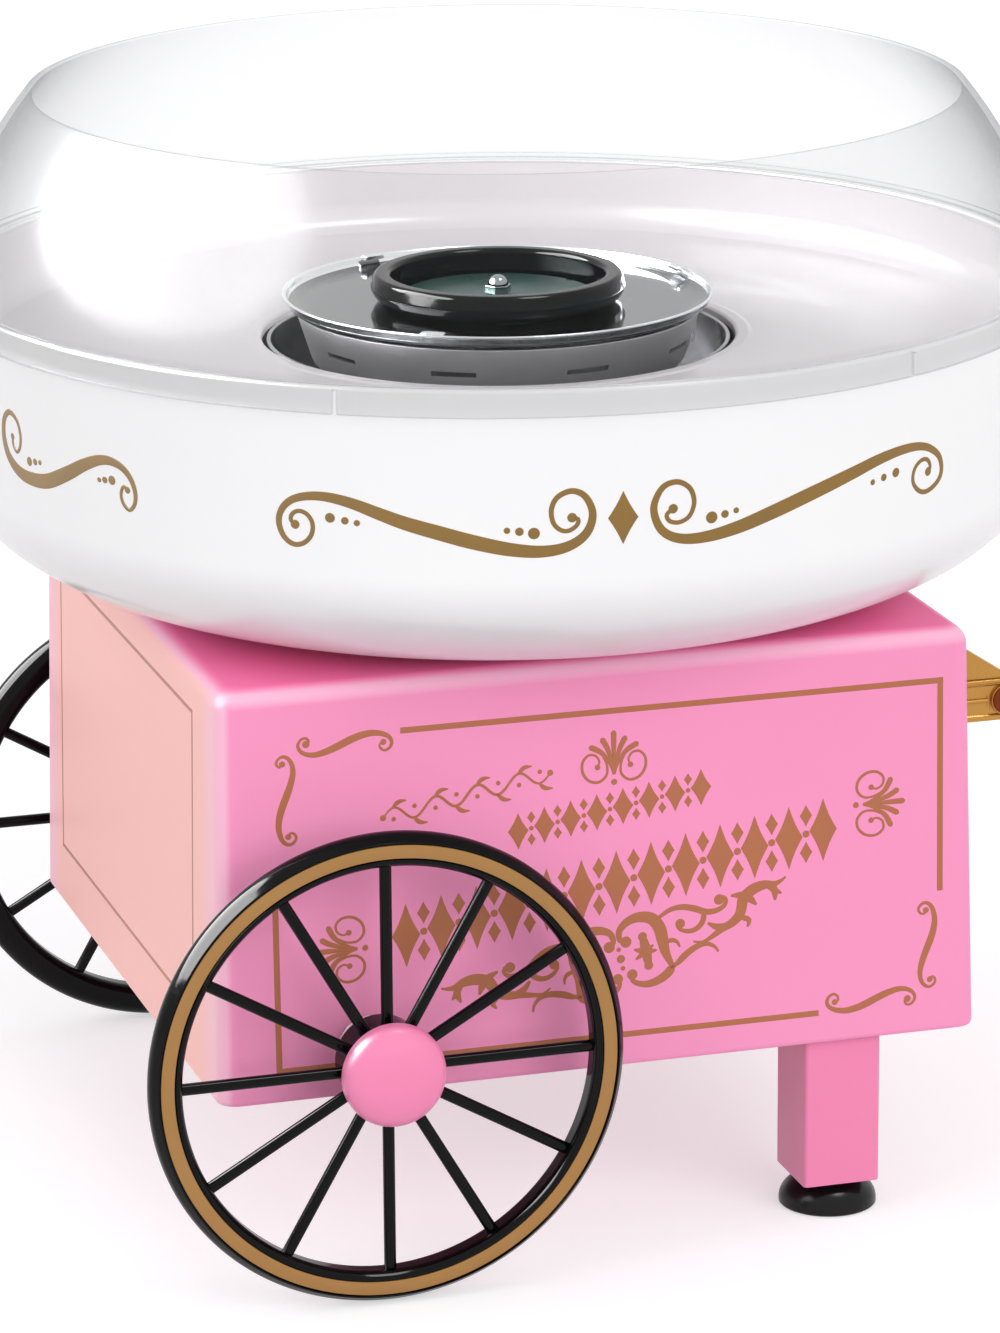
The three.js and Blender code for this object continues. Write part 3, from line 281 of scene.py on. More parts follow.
def inset(outline: Array, amount: float) -> Array:
    """An anticlockwise outline moved inwards, each corner along the mitre of its two edges.

    Args:
        outline: the points.
        amount: how far each edge moves in.

    Returns:
        The moved points.
    """
    edge = np.roll(outline, -1, axis=0) - outline
    edge /= np.linalg.norm(edge, axis=1)[:, None]
    inward = np.stack([-edge[:, 1], edge[:, 0]], axis=1)
    before = np.roll(inward, 1, axis=0)
    mitre = (before + inward) / (1 + (before * inward).sum(axis=1))[:, None]
    return outline + mitre * amount


def slab(outline: Array, levels: Sequence[Pair]) -> Shell:
    """A plate: an outline at several heights, drawn in by a given amount at each, as (inset, height).

    Args:
        outline: the points of its largest level.
        levels: each level as (inset, height).

    Returns:
        The closed skin.
    """
    count = len(outline)
    rows = [np.column_stack([inset(outline, amount), np.full(count, height)]) for amount, height in levels]
    return grid_shell(np.stack(rows))


def eased_slab(outline: Array, low: float, high: float, edge: float = 0.4) -> Shell:
    """A plate whose edges are eased by two flat cuts, of about 23 and 67 degrees.

    Args:
        outline: the points of its outline.
        low: height of its underside.
        high: height of its top.
        edge: how far the cuts reach in from each edge.

    Returns:
        The closed skin.
    """
    steps = [(edge, low), (0.3 * edge, low + 0.3 * edge), (0, low + edge)]
    steps += [(0, high - edge), (0.3 * edge, high - 0.3 * edge), (edge, high)]
    return slab(outline, steps)


def rod(radius: float, length: float, edge: float = 0.3, sides: int = 32) -> Shell:
    """A round bar from z = 0 upwards with eased ends."""
    return turned(rounded([(0, 0), (radius, 0), (radius, length), (0, length)], [0, edge, edge, 0], 3), sides)


def box(size: Sequence[float], centre: Sequence[float]) -> Shell:
    """A plain block, used to cut openings."""
    outline = rounded_rectangle(size[0], size[1], 0.01, 1)
    return slab(outline, [(0, -size[2] / 2), (0, size[2] / 2)]).shifted(centre)


# Painted lines and shapes laid on a surface


def spline(points: Sequence[Sequence[float]], spacing: float = 0.5) -> Array:
    """A Catmull-Rom curve through points, sampled at even spacing.

    Between two points the place is a cubic of the four points around, whose slope at each is half the step
    between its neighbours. The samples are then spread evenly along the length.

    Args:
        points: the places it runs through.
        spacing: the distance between samples.

    Returns:
        The samples, one in each row.
    """
    p = np.asarray(points, float)
    p = np.vstack([2 * p[0] - p[1], p, 2 * p[-1] - p[-2]])
    a, b, c, d = p[:-3, None], p[1:-2, None], p[2:-1, None], p[3:, None]
    t = np.linspace(0, 1, 24, endpoint=False)[None, :, None]
    cubic = 2 * b + (c - a) * t + (2 * a - 5 * b + 4 * c - d) * t**2 + (3 * b - a - 3 * c + d) * t**3
    curve = np.vstack([0.5 * cubic.reshape(-1, 2), p[-2]])
    along = np.concatenate([[0], np.cumsum(np.linalg.norm(np.diff(curve, axis=0), axis=1))])
    even = np.linspace(0, along[-1], max(8, int(along[-1] / spacing)))
    return np.stack([np.interp(even, along, curve[:, k]) for k in range(2)], axis=1)


@dataclass(frozen=True)
class Stroke:
    """A painted line.

    Its width swells from thin at its ends to thick at a given share of its length, as a power of a sine, and
    a round bead may close each end.
    """

    points: Route
    thin: float = 0.7
    thick: float = 2.0
    widest: float = 0.5
    swell: float = 2.0
    beads: Pair = (0.0, 0.0)

    def outline(self, scale: Sequence[float]) -> tuple[Array, Array]:
        """The line's samples in millimetres and its half width at each.

        Args:
            scale: millimetres for one unit of each coordinate.

        Returns:
            The samples, and the half width at each.
        """
        path = spline(np.asarray(self.points) * scale)
        share = np.linspace(0, 1, len(path))
        bent = np.where(share < self.widest, share / self.widest, (1 - share) / (1 - self.widest))
        rise = np.sin(bent * math.pi / 2) ** self.swell
        return path, 0.5 * (self.thin + (self.thick - self.thin) * rise)


@dataclass(frozen=True)
class Paint:
    """How thick paint stands on a surface, and the surface it is laid on.

    surface turns two arrays of flat millimetres and one of height above the surface into points.
    """

    surface: Surface
    proud: float = 0.12
    sunk: float = 0.08
    stride: float = 4.0
    laid: list[int] = field(default_factory=lambda: [0])

    def height(self) -> float:
        """The next line's height: one of seven in turn, so that crossing lines never coincide."""
        self.laid[0] += 1
        return self.proud * (0.76 + 0.04 * (self.laid[0] % 7))

    def ridge(self, path: Array, side: Array) -> Shell:
        """A low ridge with eased edges: the path plus shares of the way to its side, six of them across.

        Args:
            path: the middle line's samples.
            side: the way from each to the ridge's side.

        Returns:
            The closed skin.
        """
        top = self.height()
        height = np.array([-self.sunk, 0.5 * top, top, top, 0.5 * top, -self.sunk])
        flat = path[:, None] + side[:, None] * RIDGE_ACROSS[None, :, None]
        raised = np.repeat(height[None], len(path), axis=0)
        return grid_shell(self.surface(flat[..., 0], flat[..., 1], raised))

    def line(self, stroke: Stroke, scale: Sequence[float] = (1, 1)) -> list[Shell]:
        """A stroke as a ridge whose sides lie across the path's gradient, and its beads.

        Args:
            stroke: the painted line.
            scale: millimetres for one unit of each coordinate.

        Returns:
            The line, and a round spot for each bead.
        """
        path, half = stroke.outline(scale)
        ahead = np.gradient(path, axis=0)
        ahead /= np.linalg.norm(ahead, axis=1)[:, None]
        side = np.stack([-ahead[:, 1], ahead[:, 0]], axis=1) * half[:, None]
        ends = zip((path[0], path[-1]), stroke.beads)
        return [self.ridge(path, side)] + [self.spot(end, bead) for end, bead in ends if bead]

    def straight(self, start: Pair, end: Pair, width: float, past: float = 0.0) -> Shell:
        """A straight line with square ends, in even steps of about the paint's stride.

        Args:
            start: where it starts.
            end: where it ends.
            width: its width.
            past: how far it runs past both ends.

        Returns:
            The closed skin.
        """
        a, b = np.asarray(start, float), np.asarray(end, float)
        along = (b - a) / np.linalg.norm(b - a)
        a, b = a - along * past, b + along * past
        share = np.linspace(0, 1, max(2, int(np.linalg.norm(b - a) / self.stride)))[:, None]
        path = a + (b - a) * share
        side = np.array([-along[1], along[0]]) * width / 2
        return self.ridge(path, np.broadcast_to(side, path.shape))

    def spot(self, centre: Sequence[float], radius: float, sides: int = 20) -> Shell:
        """A round dot with an eased edge."""
        angle = np.linspace(0, 2 * math.pi, sides, endpoint=False)
        return self.shape(np.asarray(centre) + radius * np.stack([np.cos(angle), np.sin(angle)], axis=1))

    def shape(self, outline: Array) -> Shell:
        """A filled convex shape: its outline below the surface, at half height, and drawn in at the top.

        Args:
            outline: its points.

        Returns:
            The closed skin.
        """
        middle = outline.mean(axis=0)
        rings = [outline, outline, middle + (outline - middle) * 0.9]
        top = self.height()
        heights = [-self.sunk, 0.5 * top, top]
        rows = [self.surface(r[:, 0], r[:, 1], np.full(len(r), h)) for r, h in zip(rings, heights)]
        return grid_shell(np.stack(rows))

    def lozenge(self, centre: Pair, half_width: float, half_height: float, curve: float = 0.0) -> Shell:
        """A diamond standing on its point, with its sides drawn in by a share of its size.

        Args:
            centre: its middle.
            half_width: half its size across.
            half_height: half its size upwards.
            curve: the share that the middle of each side is drawn in by.

        Returns:
            The closed skin.
        """
        t = np.linspace(0, 1, 5)[:-1]
        corner = np.array([[1, 0], [0, 1], [-1, 0], [0, -1]], float)
        following = np.roll(corner, -1, axis=0)
        edge = corner[:, None] * (1 - t)[None, :, None] + following[:, None] * t[None, :, None]
        pull = 1 - curve * np.sin(math.pi * t)[None, :, None]
        outline = (edge * pull).reshape(-1, 2) * (half_width, half_height)
        return self.shape(outline + np.asarray(centre))


# Finishes


def linear(colour: str) -> tuple[float, float, float, float]:
    """A colour in the linear values that shaders take.

    Each part goes through the sRGB curve: a straight piece near black, and a power of 2.4 above it.

    Args:
        colour: the colour written as RRGGBB.

    Returns:
        Red, green, blue and an alpha of 1.
    """
    srgb = np.array([int(colour[i : i + 2], 16) for i in (0, 2, 4)]) / 255
    value = np.where(srgb <= 0.04045, srgb / 12.92, ((srgb + 0.055) / 1.055) ** 2.4)
    return (*map(float, value), 1.0)


class NodeDesk:
    """The node tree of a material or world, with short ways to add and join nodes."""

    def __init__(self, owner: bpy.types.Material | bpy.types.World, output: str = "OutputMaterial") -> None:
        """Empties the owner's tree and gives it its output node.

        Args:
            owner: the material or world.
            output: the kind of its output node.
        """
        owner.use_nodes = True
        self.tree = owner.node_tree
        self.tree.nodes.clear()
        self.output = self.node(output)

    @cached_property
    def place(self) -> Socket:
        """The Object coordinates, in metres."""
        return self.node("TexCoord").outputs["Object"]

    def node(self, kind: str, sockets: dict | None = None, **settings: object) -> bpy.types.Node:
        """Adds a node, sets its options, and sets or links its sockets by name or number.

        Args:
            kind: the node's type, without its prefix.
            sockets: values or links, by the input's name or number.
            settings: options of the node itself.

        Returns:
            The node.
        """
        made = self.tree.nodes.new("ShaderNode" + kind)
        for key, value in settings.items():
            setattr(made, key, value)
        for key, value in (sockets or {}).items():
            self.put(made.inputs[key], value)
        return made

    def put(self, socket: Socket, value: object) -> None:
        """Links another node's output to a socket, or writes a number or colour on it.

        Args:
            socket: the input.
            value: an output, a number or a colour.
        """
        if isinstance(value, Socket):
            self.tree.links.new(value, socket)
        else:
            socket.default_value = value

    def show(self, shader: bpy.types.Node) -> None:
        """Joins a shader to the output."""
        self.put(self.output.inputs["Surface"], shader.outputs[0])

    def noise(self, size: float, detail: float = 2.0, stretch: Triple = (1, 1, 1), **extra: float) -> Socket:
        """Noise whose blotches are about a size in millimetres across, stretched along each axis.

        Args:
            size: width of a blotch.
            detail: how many finer layers it has.
            stretch: how much longer a blotch is along each axis.
            extra: values for the node's other inputs.

        Returns:
            The noise, from 0 to 1.
        """
        where = self.place
        if stretch != (1, 1, 1):
            scale = tuple(1 / s for s in stretch)
            where = self.node("Mapping", {"Vector": self.place, "Scale": scale}).outputs[0]
        sockets = {"Vector": where, "Scale": 1 / (size * MM), "Detail": detail, **extra}
        return self.node("TexNoise", sockets).outputs[0]

    def spread(self, value: Socket, low: float, high: float, start: float = 0.3, end: float = 0.7) -> Socket:
        """A value's span from start to end, stretched over low to high."""
        sockets = {"Value": value, "From Min": start, "From Max": end, "To Min": low, "To Max": high}
        return self.node("MapRange", sockets).outputs[0]

    def math(self, operation: str, a: Socket | float, b: Socket | float = 0.0) -> Socket:
        """One operation on two values."""
        return self.node("Math", {0: a, 1: b}, operation=operation).outputs[0]

    def mix(self, factor: Socket, a: object, b: object) -> Socket:
        """Two colours mixed by a factor."""
        return self.node("Mix", {0: factor, 6: a, 7: b}, data_type="RGBA").outputs[2]

    def bump(self, height: Socket, distance: float, strength: float, under: Socket | None = None) -> Socket:
        """A relief of a height in millimetres, over another relief where one is given.

        Args:
            height: the relief.
            distance: its depth in millimetres.
            strength: how much of it shows.
            under: the relief below it.

        Returns:
            The normal.
        """
        sockets = {"Height": height, "Distance": distance * MM, "Strength": strength}
        if under is not None:
            sockets["Normal"] = under
        return self.node("Bump", sockets).outputs[0]

    def parts(self) -> bpy.types.NodeOutputs:
        """The Object coordinates x, y and z, in metres."""
        return self.node("SeparateXYZ", {0: self.place}).outputs

    def radius(self) -> Socket:
        """Distance from the Z axis, as the root of x squared plus y squared."""
        squares = [self.math("MULTIPLY", part, part) for part in self.parts()[:2]]
        return self.math("SQRT", self.math("ADD", *squares))


@dataclass(frozen=True)
class Finish:
    """A moulded, painted or rubbed surface.

    The colour drifts by mottle over blotches of mottle_size, the roughness changes by smudge, grain gives the
    relief's height and grain_size its width, and ripple the height of the slow waves under it. Sizes and
    heights are in millimetres, the rest are shares.
    """

    name: str
    colour: str
    roughness: float
    metallic: float = 0.0
    specular: float = 0.5
    coat: float = 0.0
    coat_roughness: float = 0.05
    second: str = ""
    mottle: float = 0.5
    mottle_size: float = 45.0
    smudge: float = 0.08
    smudge_size: float = 14.0
    grain: float = 0.01
    grain_size: float = 1.2
    ripple: float = 0.02
    scratches: float = 0.0

    @property
    def material_name(self) -> str:
        """The material's name, apart from the names of the record's slots."""
        return f"{self.name}_finish"

    def colours(self, desk: NodeDesk) -> Socket:
        """The colour, drifting between the main one and the second."""
        drift = desk.spread(desk.noise(self.mottle_size, 2.0), 0.0, self.mottle, 0.15, 0.85)
        return desk.mix(drift, linear(self.colour), linear(self.second or self.colour))

    def roughnesses(self, desk: NodeDesk) -> Socket:
        """The roughness, rubbed smoother and duller in patches, with fine scratches where it has them.

        Args:
            desk: the material's nodes.

        Returns:
            The roughness.
        """
        patches = desk.spread(desk.noise(self.smudge_size, 2.0), -self.smudge, self.smudge, 0.1, 0.9)
        value = desk.math("ADD", patches, self.roughness)
        if self.scratches:
            lines = desk.noise(2.2, 2.0, (1, 14, 1), Distortion=1.4)
            value = desk.math("ADD", value, desk.spread(lines, 0.0, self.scratches, 0.62, 0.7))
        return value

    def relief(self, desk: NodeDesk) -> Socket:
        """The surface relief: fine grain over a slow ripple from the mould."""
        ripple = desk.bump(desk.noise(34.0, 0.0), self.ripple, 0.3)
        return desk.bump(desk.noise(self.grain_size, 2.0), self.grain, 0.4, ripple)

    def material(self) -> bpy.types.Material:
        """The material, made once and then shared."""
        return bpy.data.materials.get(self.material_name) or self.make()

    def make(self) -> bpy.types.Material:
        """Builds the material's nodes.

        Returns:
            The new material.
        """
        made = bpy.data.materials.new(self.material_name)
        desk = NodeDesk(made)
        desk.show(self.shader(desk))
        return made

    def shader(self, desk: NodeDesk) -> bpy.types.Node:
        """The surface shader with its colour, roughness, relief and gloss.

        Args:
            desk: the material's nodes.

        Returns:
            The shader node.
        """
        sockets = {
            "Base Color": self.colours(desk),
            "Roughness": self.roughnesses(desk),
            "Normal": self.relief(desk),
            "Metallic": self.metallic,
            "Specular IOR Level": self.specular,
            "Coat Weight": self.coat,
            "Coat Roughness": self.coat_roughness,
        }
        return desk.node("BsdfPrincipled", sockets)


@dataclass(frozen=True)
class CartFinish(Finish):
    """Pink plastic, with a painted highlight in pale pink along its rounded edges, painted shade as a deeper
    pink on top, and painted light as peach on the end by the wheels.
    """

    # Painted light: pale is a painted highlight on the rounded edges, deep is painted shade on the flat top,
    # and the peach end tint is painted light on the end by the wheels.
    pale: str = "FFC6DD"
    highlight_share: float = 0.75
    deep: str = "FF82B6"
    lit_end_tint: str = "FFC3BC"
    lean: float = 0.01759
    corner: Pair = (-102.2, -103.6)
    end: Pair = (-104.2, -105.4)
    highlight_margin: Pair = (80.0, 90.0)
    rounding: Pair = (152.8, 155.0)
    shaded_top: Pair = (156.2, 157.3)

    def colours(self, desk: NodeDesk) -> Socket:
        """The drifting pink, mixed by height and by x less the end wall's lean times the height.

        Their spans are in millimetres. The pale bands are a painted highlight on the top rounding and on the
        upright corners by the wheels, the deep pink is painted shade on the flat top, and the peach past the
        corner is painted light on the end by the wheels, with pale edges of painted highlight.

        Args:
            desk: the material's nodes.

        Returns:
            The colour.
        """
        x, y, z = desk.parts()
        across = desk.math("SUBTRACT", x, desk.math("MULTIPLY", z, self.lean))
        pale, share = linear(self.pale), self.highlight_share

        def band(value: Socket, most: float, span: Pair) -> Socket:
            """A share that rises over a span of millimetres."""
            return desk.spread(value, 0.0, most, span[0] * MM, span[1] * MM)

        # Painted highlight: pale pink on the top rounding and on the upright corners by the wheels.
        rounding = desk.math("MAXIMUM", band(across, share, self.corner), band(z, share, self.rounding))
        colour = desk.mix(rounding, super().colours(desk), pale)
        # Painted shade: a deeper pink over the flat top.
        colour = desk.mix(band(z, 1.0, self.shaded_top), colour, linear(self.deep))
        # Painted light: the end by the wheels in peach, with a painted highlight in pale pink near its
        # upright edges.
        highlight_margin = band(desk.math("ABSOLUTE", y), share, self.highlight_margin)
        lit_end_tint = desk.mix(highlight_margin, linear(self.lit_end_tint), pale)
        return desk.mix(band(across, 1.0, self.end), colour, lit_end_tint)


@dataclass(frozen=True)
class LatheFinish(Finish):
    """Turned or spun metal: its grain runs in fine rings about the Z axis."""

    ring_size: float = 0.5
    ring_height: float = 0.01

    def rings(self, desk: NodeDesk) -> Socket:
        """Noise along the radius alone.

        Args:
            desk: the material's nodes.

        Returns:
            The noise.
        """
        scaled = desk.math("MULTIPLY", desk.radius(), 1 / (self.ring_size * MM))
        sockets = {"W": scaled, "Scale": 1.0, "Detail": 3.0}
        return desk.node("TexNoise", sockets, noise_dimensions="1D").outputs[0]

    def relief(self, desk: NodeDesk) -> Socket:
        """Fine rings over shallow dents."""
        dents = desk.bump(desk.noise(22.0, 2.0), self.grain * 6, 0.5)
        return desk.bump(self.rings(desk), self.ring_height, 0.7, dents)


@dataclass(frozen=True)
class ClearFinish(Finish):
    """Clear moulded plastic: light passes straight through, and more is reflected at a flatter look."""

    straight_on: float = 0.005
    edge_on: float = 0.34
    power: float = 3.6
    through: str = "FAFAFA"
    tint: str = "B4B6B7"
    tint_power: float = 4.0
    skirt_top: float = 241.6
    skirt_tint: float = 0.06
    patch: float = 0.002

    def shader(self, desk: NodeDesk) -> bpy.types.Node:
        """A see-through shader mixed with a mirror.

        The mirror's share is straight_on plus edge_on times a power of how edge-on the surface is seen. It
        follows Schlick's form of Fresnel and is the same from both sides of the wall. Light that passes
        edge-on crosses more plastic, so it takes on the tint by another power, and the skirt below the
        shoulder takes a little of the tint too.

        Args:
            desk: the material's nodes.

        Returns:
            The mix node.
        """
        facing = desk.node("LayerWeight", {"Blend": 0.5}).outputs["Facing"]
        low, high = self.skirt_top * MM, (self.skirt_top + 1) * MM
        skirt = desk.spread(desk.parts()[2], self.skirt_tint, 0.0, low, high)
        depth = desk.math("MAXIMUM", desk.math("POWER", facing, self.tint_power), skirt)
        colour = desk.mix(depth, linear(self.through), linear(self.tint))
        passing = desk.node("BsdfTransparent", {"Color": colour})
        rise = desk.math("MULTIPLY", desk.math("POWER", facing, self.power), self.edge_on)
        patches = desk.spread(desk.noise(self.smudge_size * 3, 3.0), 0.0, self.patch)
        cover = desk.math("ADD", desk.math("ADD", rise, patches), self.straight_on)
        glossy = super().shader(desk)
        return desk.node("MixShader", {0: cover, 1: passing.outputs[0], 2: glossy.outputs[0]})


PINK = CartFinish(
    "pink_moulding", "FA9CC6", 0.4, specular=0.12, second="F796C1", smudge=0.03, grain=0.004
)
PINK_TRIM = Finish("pink_trim", "F488B4", 0.34, second="F082AE", coat=0.1, coat_roughness=0.12, grain=0.004)
WHITE = Finish(
    "white_moulding", "F9F8F8", 0.26, second="F0EFF2", coat=0.2, smudge=0.02, mottle_size=60,
    grain=0.003,
)
# Painted shade: the bowl's white plastic, made greyer for the tray inside the bowl.
SHADED_TRAY = Finish(
    "white_tray", "E3DFE2", 0.3, second="DBD7DB", coat=0.15, smudge=0.03, mottle_size=60, grain=0.003,
)
CLEAR = ClearFinish("clear_moulding", "FAFBFC", 0.19, 1.0, smudge=0.01, grain=0.002, mottle=0.2, ripple=0.01)
BLACK = Finish(
    "black_gloss", "050506", 0.1, specular=0.12, second="090909", coat=0.04, smudge=0.03, grain=0.002,
    scratches=0.06,
)
RING = Finish(
    "black_ring", "020406", 0.09, specular=0.16, second="070708", smudge=0.02, grain=0.002, ripple=0.03,
)
RUBBER = Finish(
    "black_rubber", "070707", 0.28, second="101011", specular=0.25, smudge=0.08, grain=0.02,
    grain_size=0.7,
)
GOLD = Finish(
    "gold_moulding", "C08E3C", 0.28, 0.7, second="A8722A", coat=0.4, smudge=0.06, grain=0.01,
    scratches=0.08,
)
BAND = Finish(
    "gold_foil", "A87A3E", 0.36, 0.4, second="94682F", coat=0.3, smudge=0.08, mottle_size=18,
    scratches=0.1,
)
INK = Finish("gold_print", "AE6D3E", 0.45, second="B0644A", mottle=0.9, mottle_size=9, smudge=0.08)
BOWL_INK = Finish("bowl_print", "8F6A28", 0.45, second="7C6230", mottle=0.9, mottle_size=9, smudge=0.08)
LINE_INK = Finish("panel_line", "B26A58", 0.45, second="A05C4E", mottle=0.8, mottle_size=7, smudge=0.08)
# Painted highlight: the disc's lip and tabs in a near-white metal.
LIT_EDGE = Finish("lit_edge", "ECEEF0", 0.16, 1.0, second="DEE0E2", smudge=0.03, grain=0.002)
CHROME = Finish("chrome", "9DA5A7", 0.06, 1.0, second="969A9D", smudge=0.03, grain=0.002)
# Painted shade: the disc's face in a much darker metal than its lip, though both are one spun plate.
MIRROR = LatheFinish(
    "spun_disc", "7C7E7F", 0.06, 1.0, second="737677", smudge=0.02, grain=0.001, ring_height=0.002,
)
WELL = Finish(
    "spun_well", "B0B0B2", 0.26, 1.0, second="8A8A8D", mottle=1.0, mottle_size=12, smudge=0.1,
    grain=0.02,
)
STEEL = Finish("plain_steel", "9A9DA0", 0.32, 1.0, second="85888B", smudge=0.1, grain=0.01, scratches=0.2)
DARK_STEEL = Finish(
    "dark_steel", "4C4D50", 0.42, 1.0, second="3E3F42", smudge=0.12, grain=0.02, scratches=0.2,
)
ALUMINIUM = Finish(
    "spun_aluminium", "C4C4C6", 0.32, 0.65, second="B2B2B5", smudge=0.04, grain=0.004, ripple=0.004,
)
TEAL = LatheFinish(
    "teal_metal", "6B7F7D", 0.3, 0.6, specular=0.2, second="1E5A50", mottle=1.0, mottle_size=20,
    smudge=0.06, ring_height=0.003,
)
BRONZE = Finish(
    "sintered_bronze", "9A6B3C", 0.45, 0.9, second="7F552C", smudge=0.1, grain=0.03, grain_size=0.4,
)
CERAMIC = Finish("fired_ceramic", "E6DED0", 0.7, second="D6CCBA", smudge=0.1, grain=0.05, grain_size=0.8)
NYLON = Finish("nylon", "E4E2DC", 0.45, second="D8D5CC", smudge=0.08, grain=0.02)
MAGNET = Finish("ferrite", "2B2B2E", 0.6, second="202023", smudge=0.1, grain=0.04, grain_size=0.6)
# Painted shade: the dark brown of the handle bar's ends.
SHADED_BAR_END = Finish("bar_end", "7A3412", 0.5, specular=0.2, second="64260C", smudge=0.1, grain=0.02)


# Pieces and the sub-assemblies that hold them


@dataclass
class Piece:
    """One object and its finish."""

    thing: Object
    finish: Finish


@dataclass
class Assembly:
    """A sub-assembly that builds its pieces and then dresses them."""

    body: ClassVar[Body] = Body.CART
    pieces: list[Piece] = field(default_factory=list, init=False)

    def build(self) -> None:
        """Makes the meshes."""
        raise NotImplementedError

    def dress(self) -> None:
        """Gives each piece its material, in the slots of its object."""
        for piece in self.pieces:
            if not piece.thing.material_slots:
                piece.thing.data.materials.append(None)
            for slot in piece.thing.material_slots:
                slot.material = piece.finish.material()

    def add(
        self,
        name: str,
        shell: Shell | Sequence[Shell],
        slot: Slot,
        finish: Finish,
        replaces: Sequence[str] = (),
        smooth_below: float = 32.0,
        cutters: Sequence[Shell] = (),
        body: Body | None = None,
    ) -> None:
        """Makes one piece of a skin and sets it in the frame.

        Args:
            name: the piece's name.
            shell: its skin, or several skins that make one piece.
            slot: the record's slot for it; not used.
            finish: its material.
            replaces: the CAD nodes that it stands for.
            smooth_below: edges that turn by less than these degrees are shaded smooth.
            cutters: skins that are cut out of it.
            body: the body that it moves with, where that isn't the assembly's own.
        """
        body = body or self.body
        whole = shell if isinstance(shell, Shell) else joined(list(shell))
        thing = mesh_object(name, whole)
        if cutters:
            carve(thing, joined(list(cutters)))
        shade(thing, smooth_below)
        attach(thing, body.value)
        if replaces:
            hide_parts(*replaces)
        self.pieces.append(Piece(thing, finish))
        log.info("%s: %d faces on %s", name, len(thing.data.polygons), body.value)

    def keep(self, node: str, finish: Finish) -> None:
        """Leaves a CAD node as it is, with a better material."""
        self.pieces.append(Piece(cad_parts[node], finish))


def mesh_object(name: str, shell: Shell) -> Object:
    """An object at the origin whose mesh is a skin in metres.

    Args:
        name: its name.
        shell: the skin.

    Returns:
        The object.
    """
    mesh = bpy.data.meshes.new(name)
    faces = [row for group in shell.faces for row in group.tolist()]
    mesh.from_pydata((shell.points * MM).tolist(), [], faces)
    mesh.update()
    thing = bpy.data.objects.new(name, mesh)
    bpy.context.scene.collection.objects.link(thing)
    return thing


def carve(thing: Object, cutter: Shell) -> None:
    """Cuts a skin out of an object and keeps the result as its mesh.

    Args:
        thing: the object.
        cutter: the skin that is cut out.
    """
    tool = mesh_object(thing.name + "_cutter", cutter)
    modifier = thing.modifiers.new("openings", "BOOLEAN")
    modifier.object = tool
    modifier.operation = "DIFFERENCE"
    modifier.solver = "EXACT"
    bpy.context.view_layer.update()
    graph = bpy.context.evaluated_depsgraph_get()
    result = bpy.data.meshes.new_from_object(thing.evaluated_get(graph))
    thing.modifiers.clear()
    old, old_tool = thing.data, tool.data
    thing.data = result
    bpy.data.objects.remove(tool)
    bpy.data.meshes.remove(old)
    bpy.data.meshes.remove(old_tool)


def shade(thing: Object, smooth_below: float) -> None:
    """Shades smooth, except at edges that turn by more, with corner normals weighted by face area.

    Args:
        thing: the object.
        smooth_below: the largest turn that stays smooth, in degrees.
    """
    mesh = thing.data
    mesh.polygons.foreach_set("use_smooth", np.ones(len(mesh.polygons), bool))
    mesh.set_sharp_from_angle(angle=math.radians(smooth_below))
    weighted = thing.modifiers.new("flat faces stay flat", "WEIGHTED_NORMAL")
    weighted.keep_sharp = True


@dataclass
class CartSizes:
    """The cart's drafted box. The side walls lean in by the draft over its height."""

    centre_x: float = -2.5
    bottom: float = 49.4
    height: float = 108.0
    length: float = 204.5
    width: float = 198.0
    length_draft: float = 3.8
    width_draft: float = 6.8
    wall: float = 2.4
    corner: float = 5.0
    top_round: float = 5.0
    bottom_round: float = 1.4
    axle: Pair = (-65.5, 62.06)
    switch: Pair = (58.0, 118.0)
    gland: Pair = (76.0, 72.0)

    @property
    def top(self) -> float:
        """Height of the flat top."""
        return self.bottom + self.height

    def side(self, z: Array | float) -> Array | float:
        """Distance of the long side walls from the middle plane at a height."""
        return self.width / 2 - self.width_draft / 2 / self.height * (z - self.bottom)

    def end(self, z: Array | float) -> Array | float:
        """Distance of the end walls from the cart's centre at a height."""
        return self.length / 2 - self.length_draft / 2 / self.height * (z - self.bottom)

    def outline(self, z: float, drawn_in: float) -> Array:
        """The level outline at a height, drawn in on every side.

        Args:
            z: the height.
            drawn_in: how far each side moves in.

        Returns:
            The points, one in each row.
        """
        rise = (z - self.bottom) / self.height
        length = self.length - self.length_draft * rise - 2 * drawn_in
        width = self.width - self.width_draft * rise - 2 * drawn_in
        flat = rounded_rectangle(length, width, max(self.corner - drawn_in / 2, 1.0))
        return np.column_stack([flat[:, 0] + self.centre_x, flat[:, 1], np.full(len(flat), z)])


CART = CartSizes()


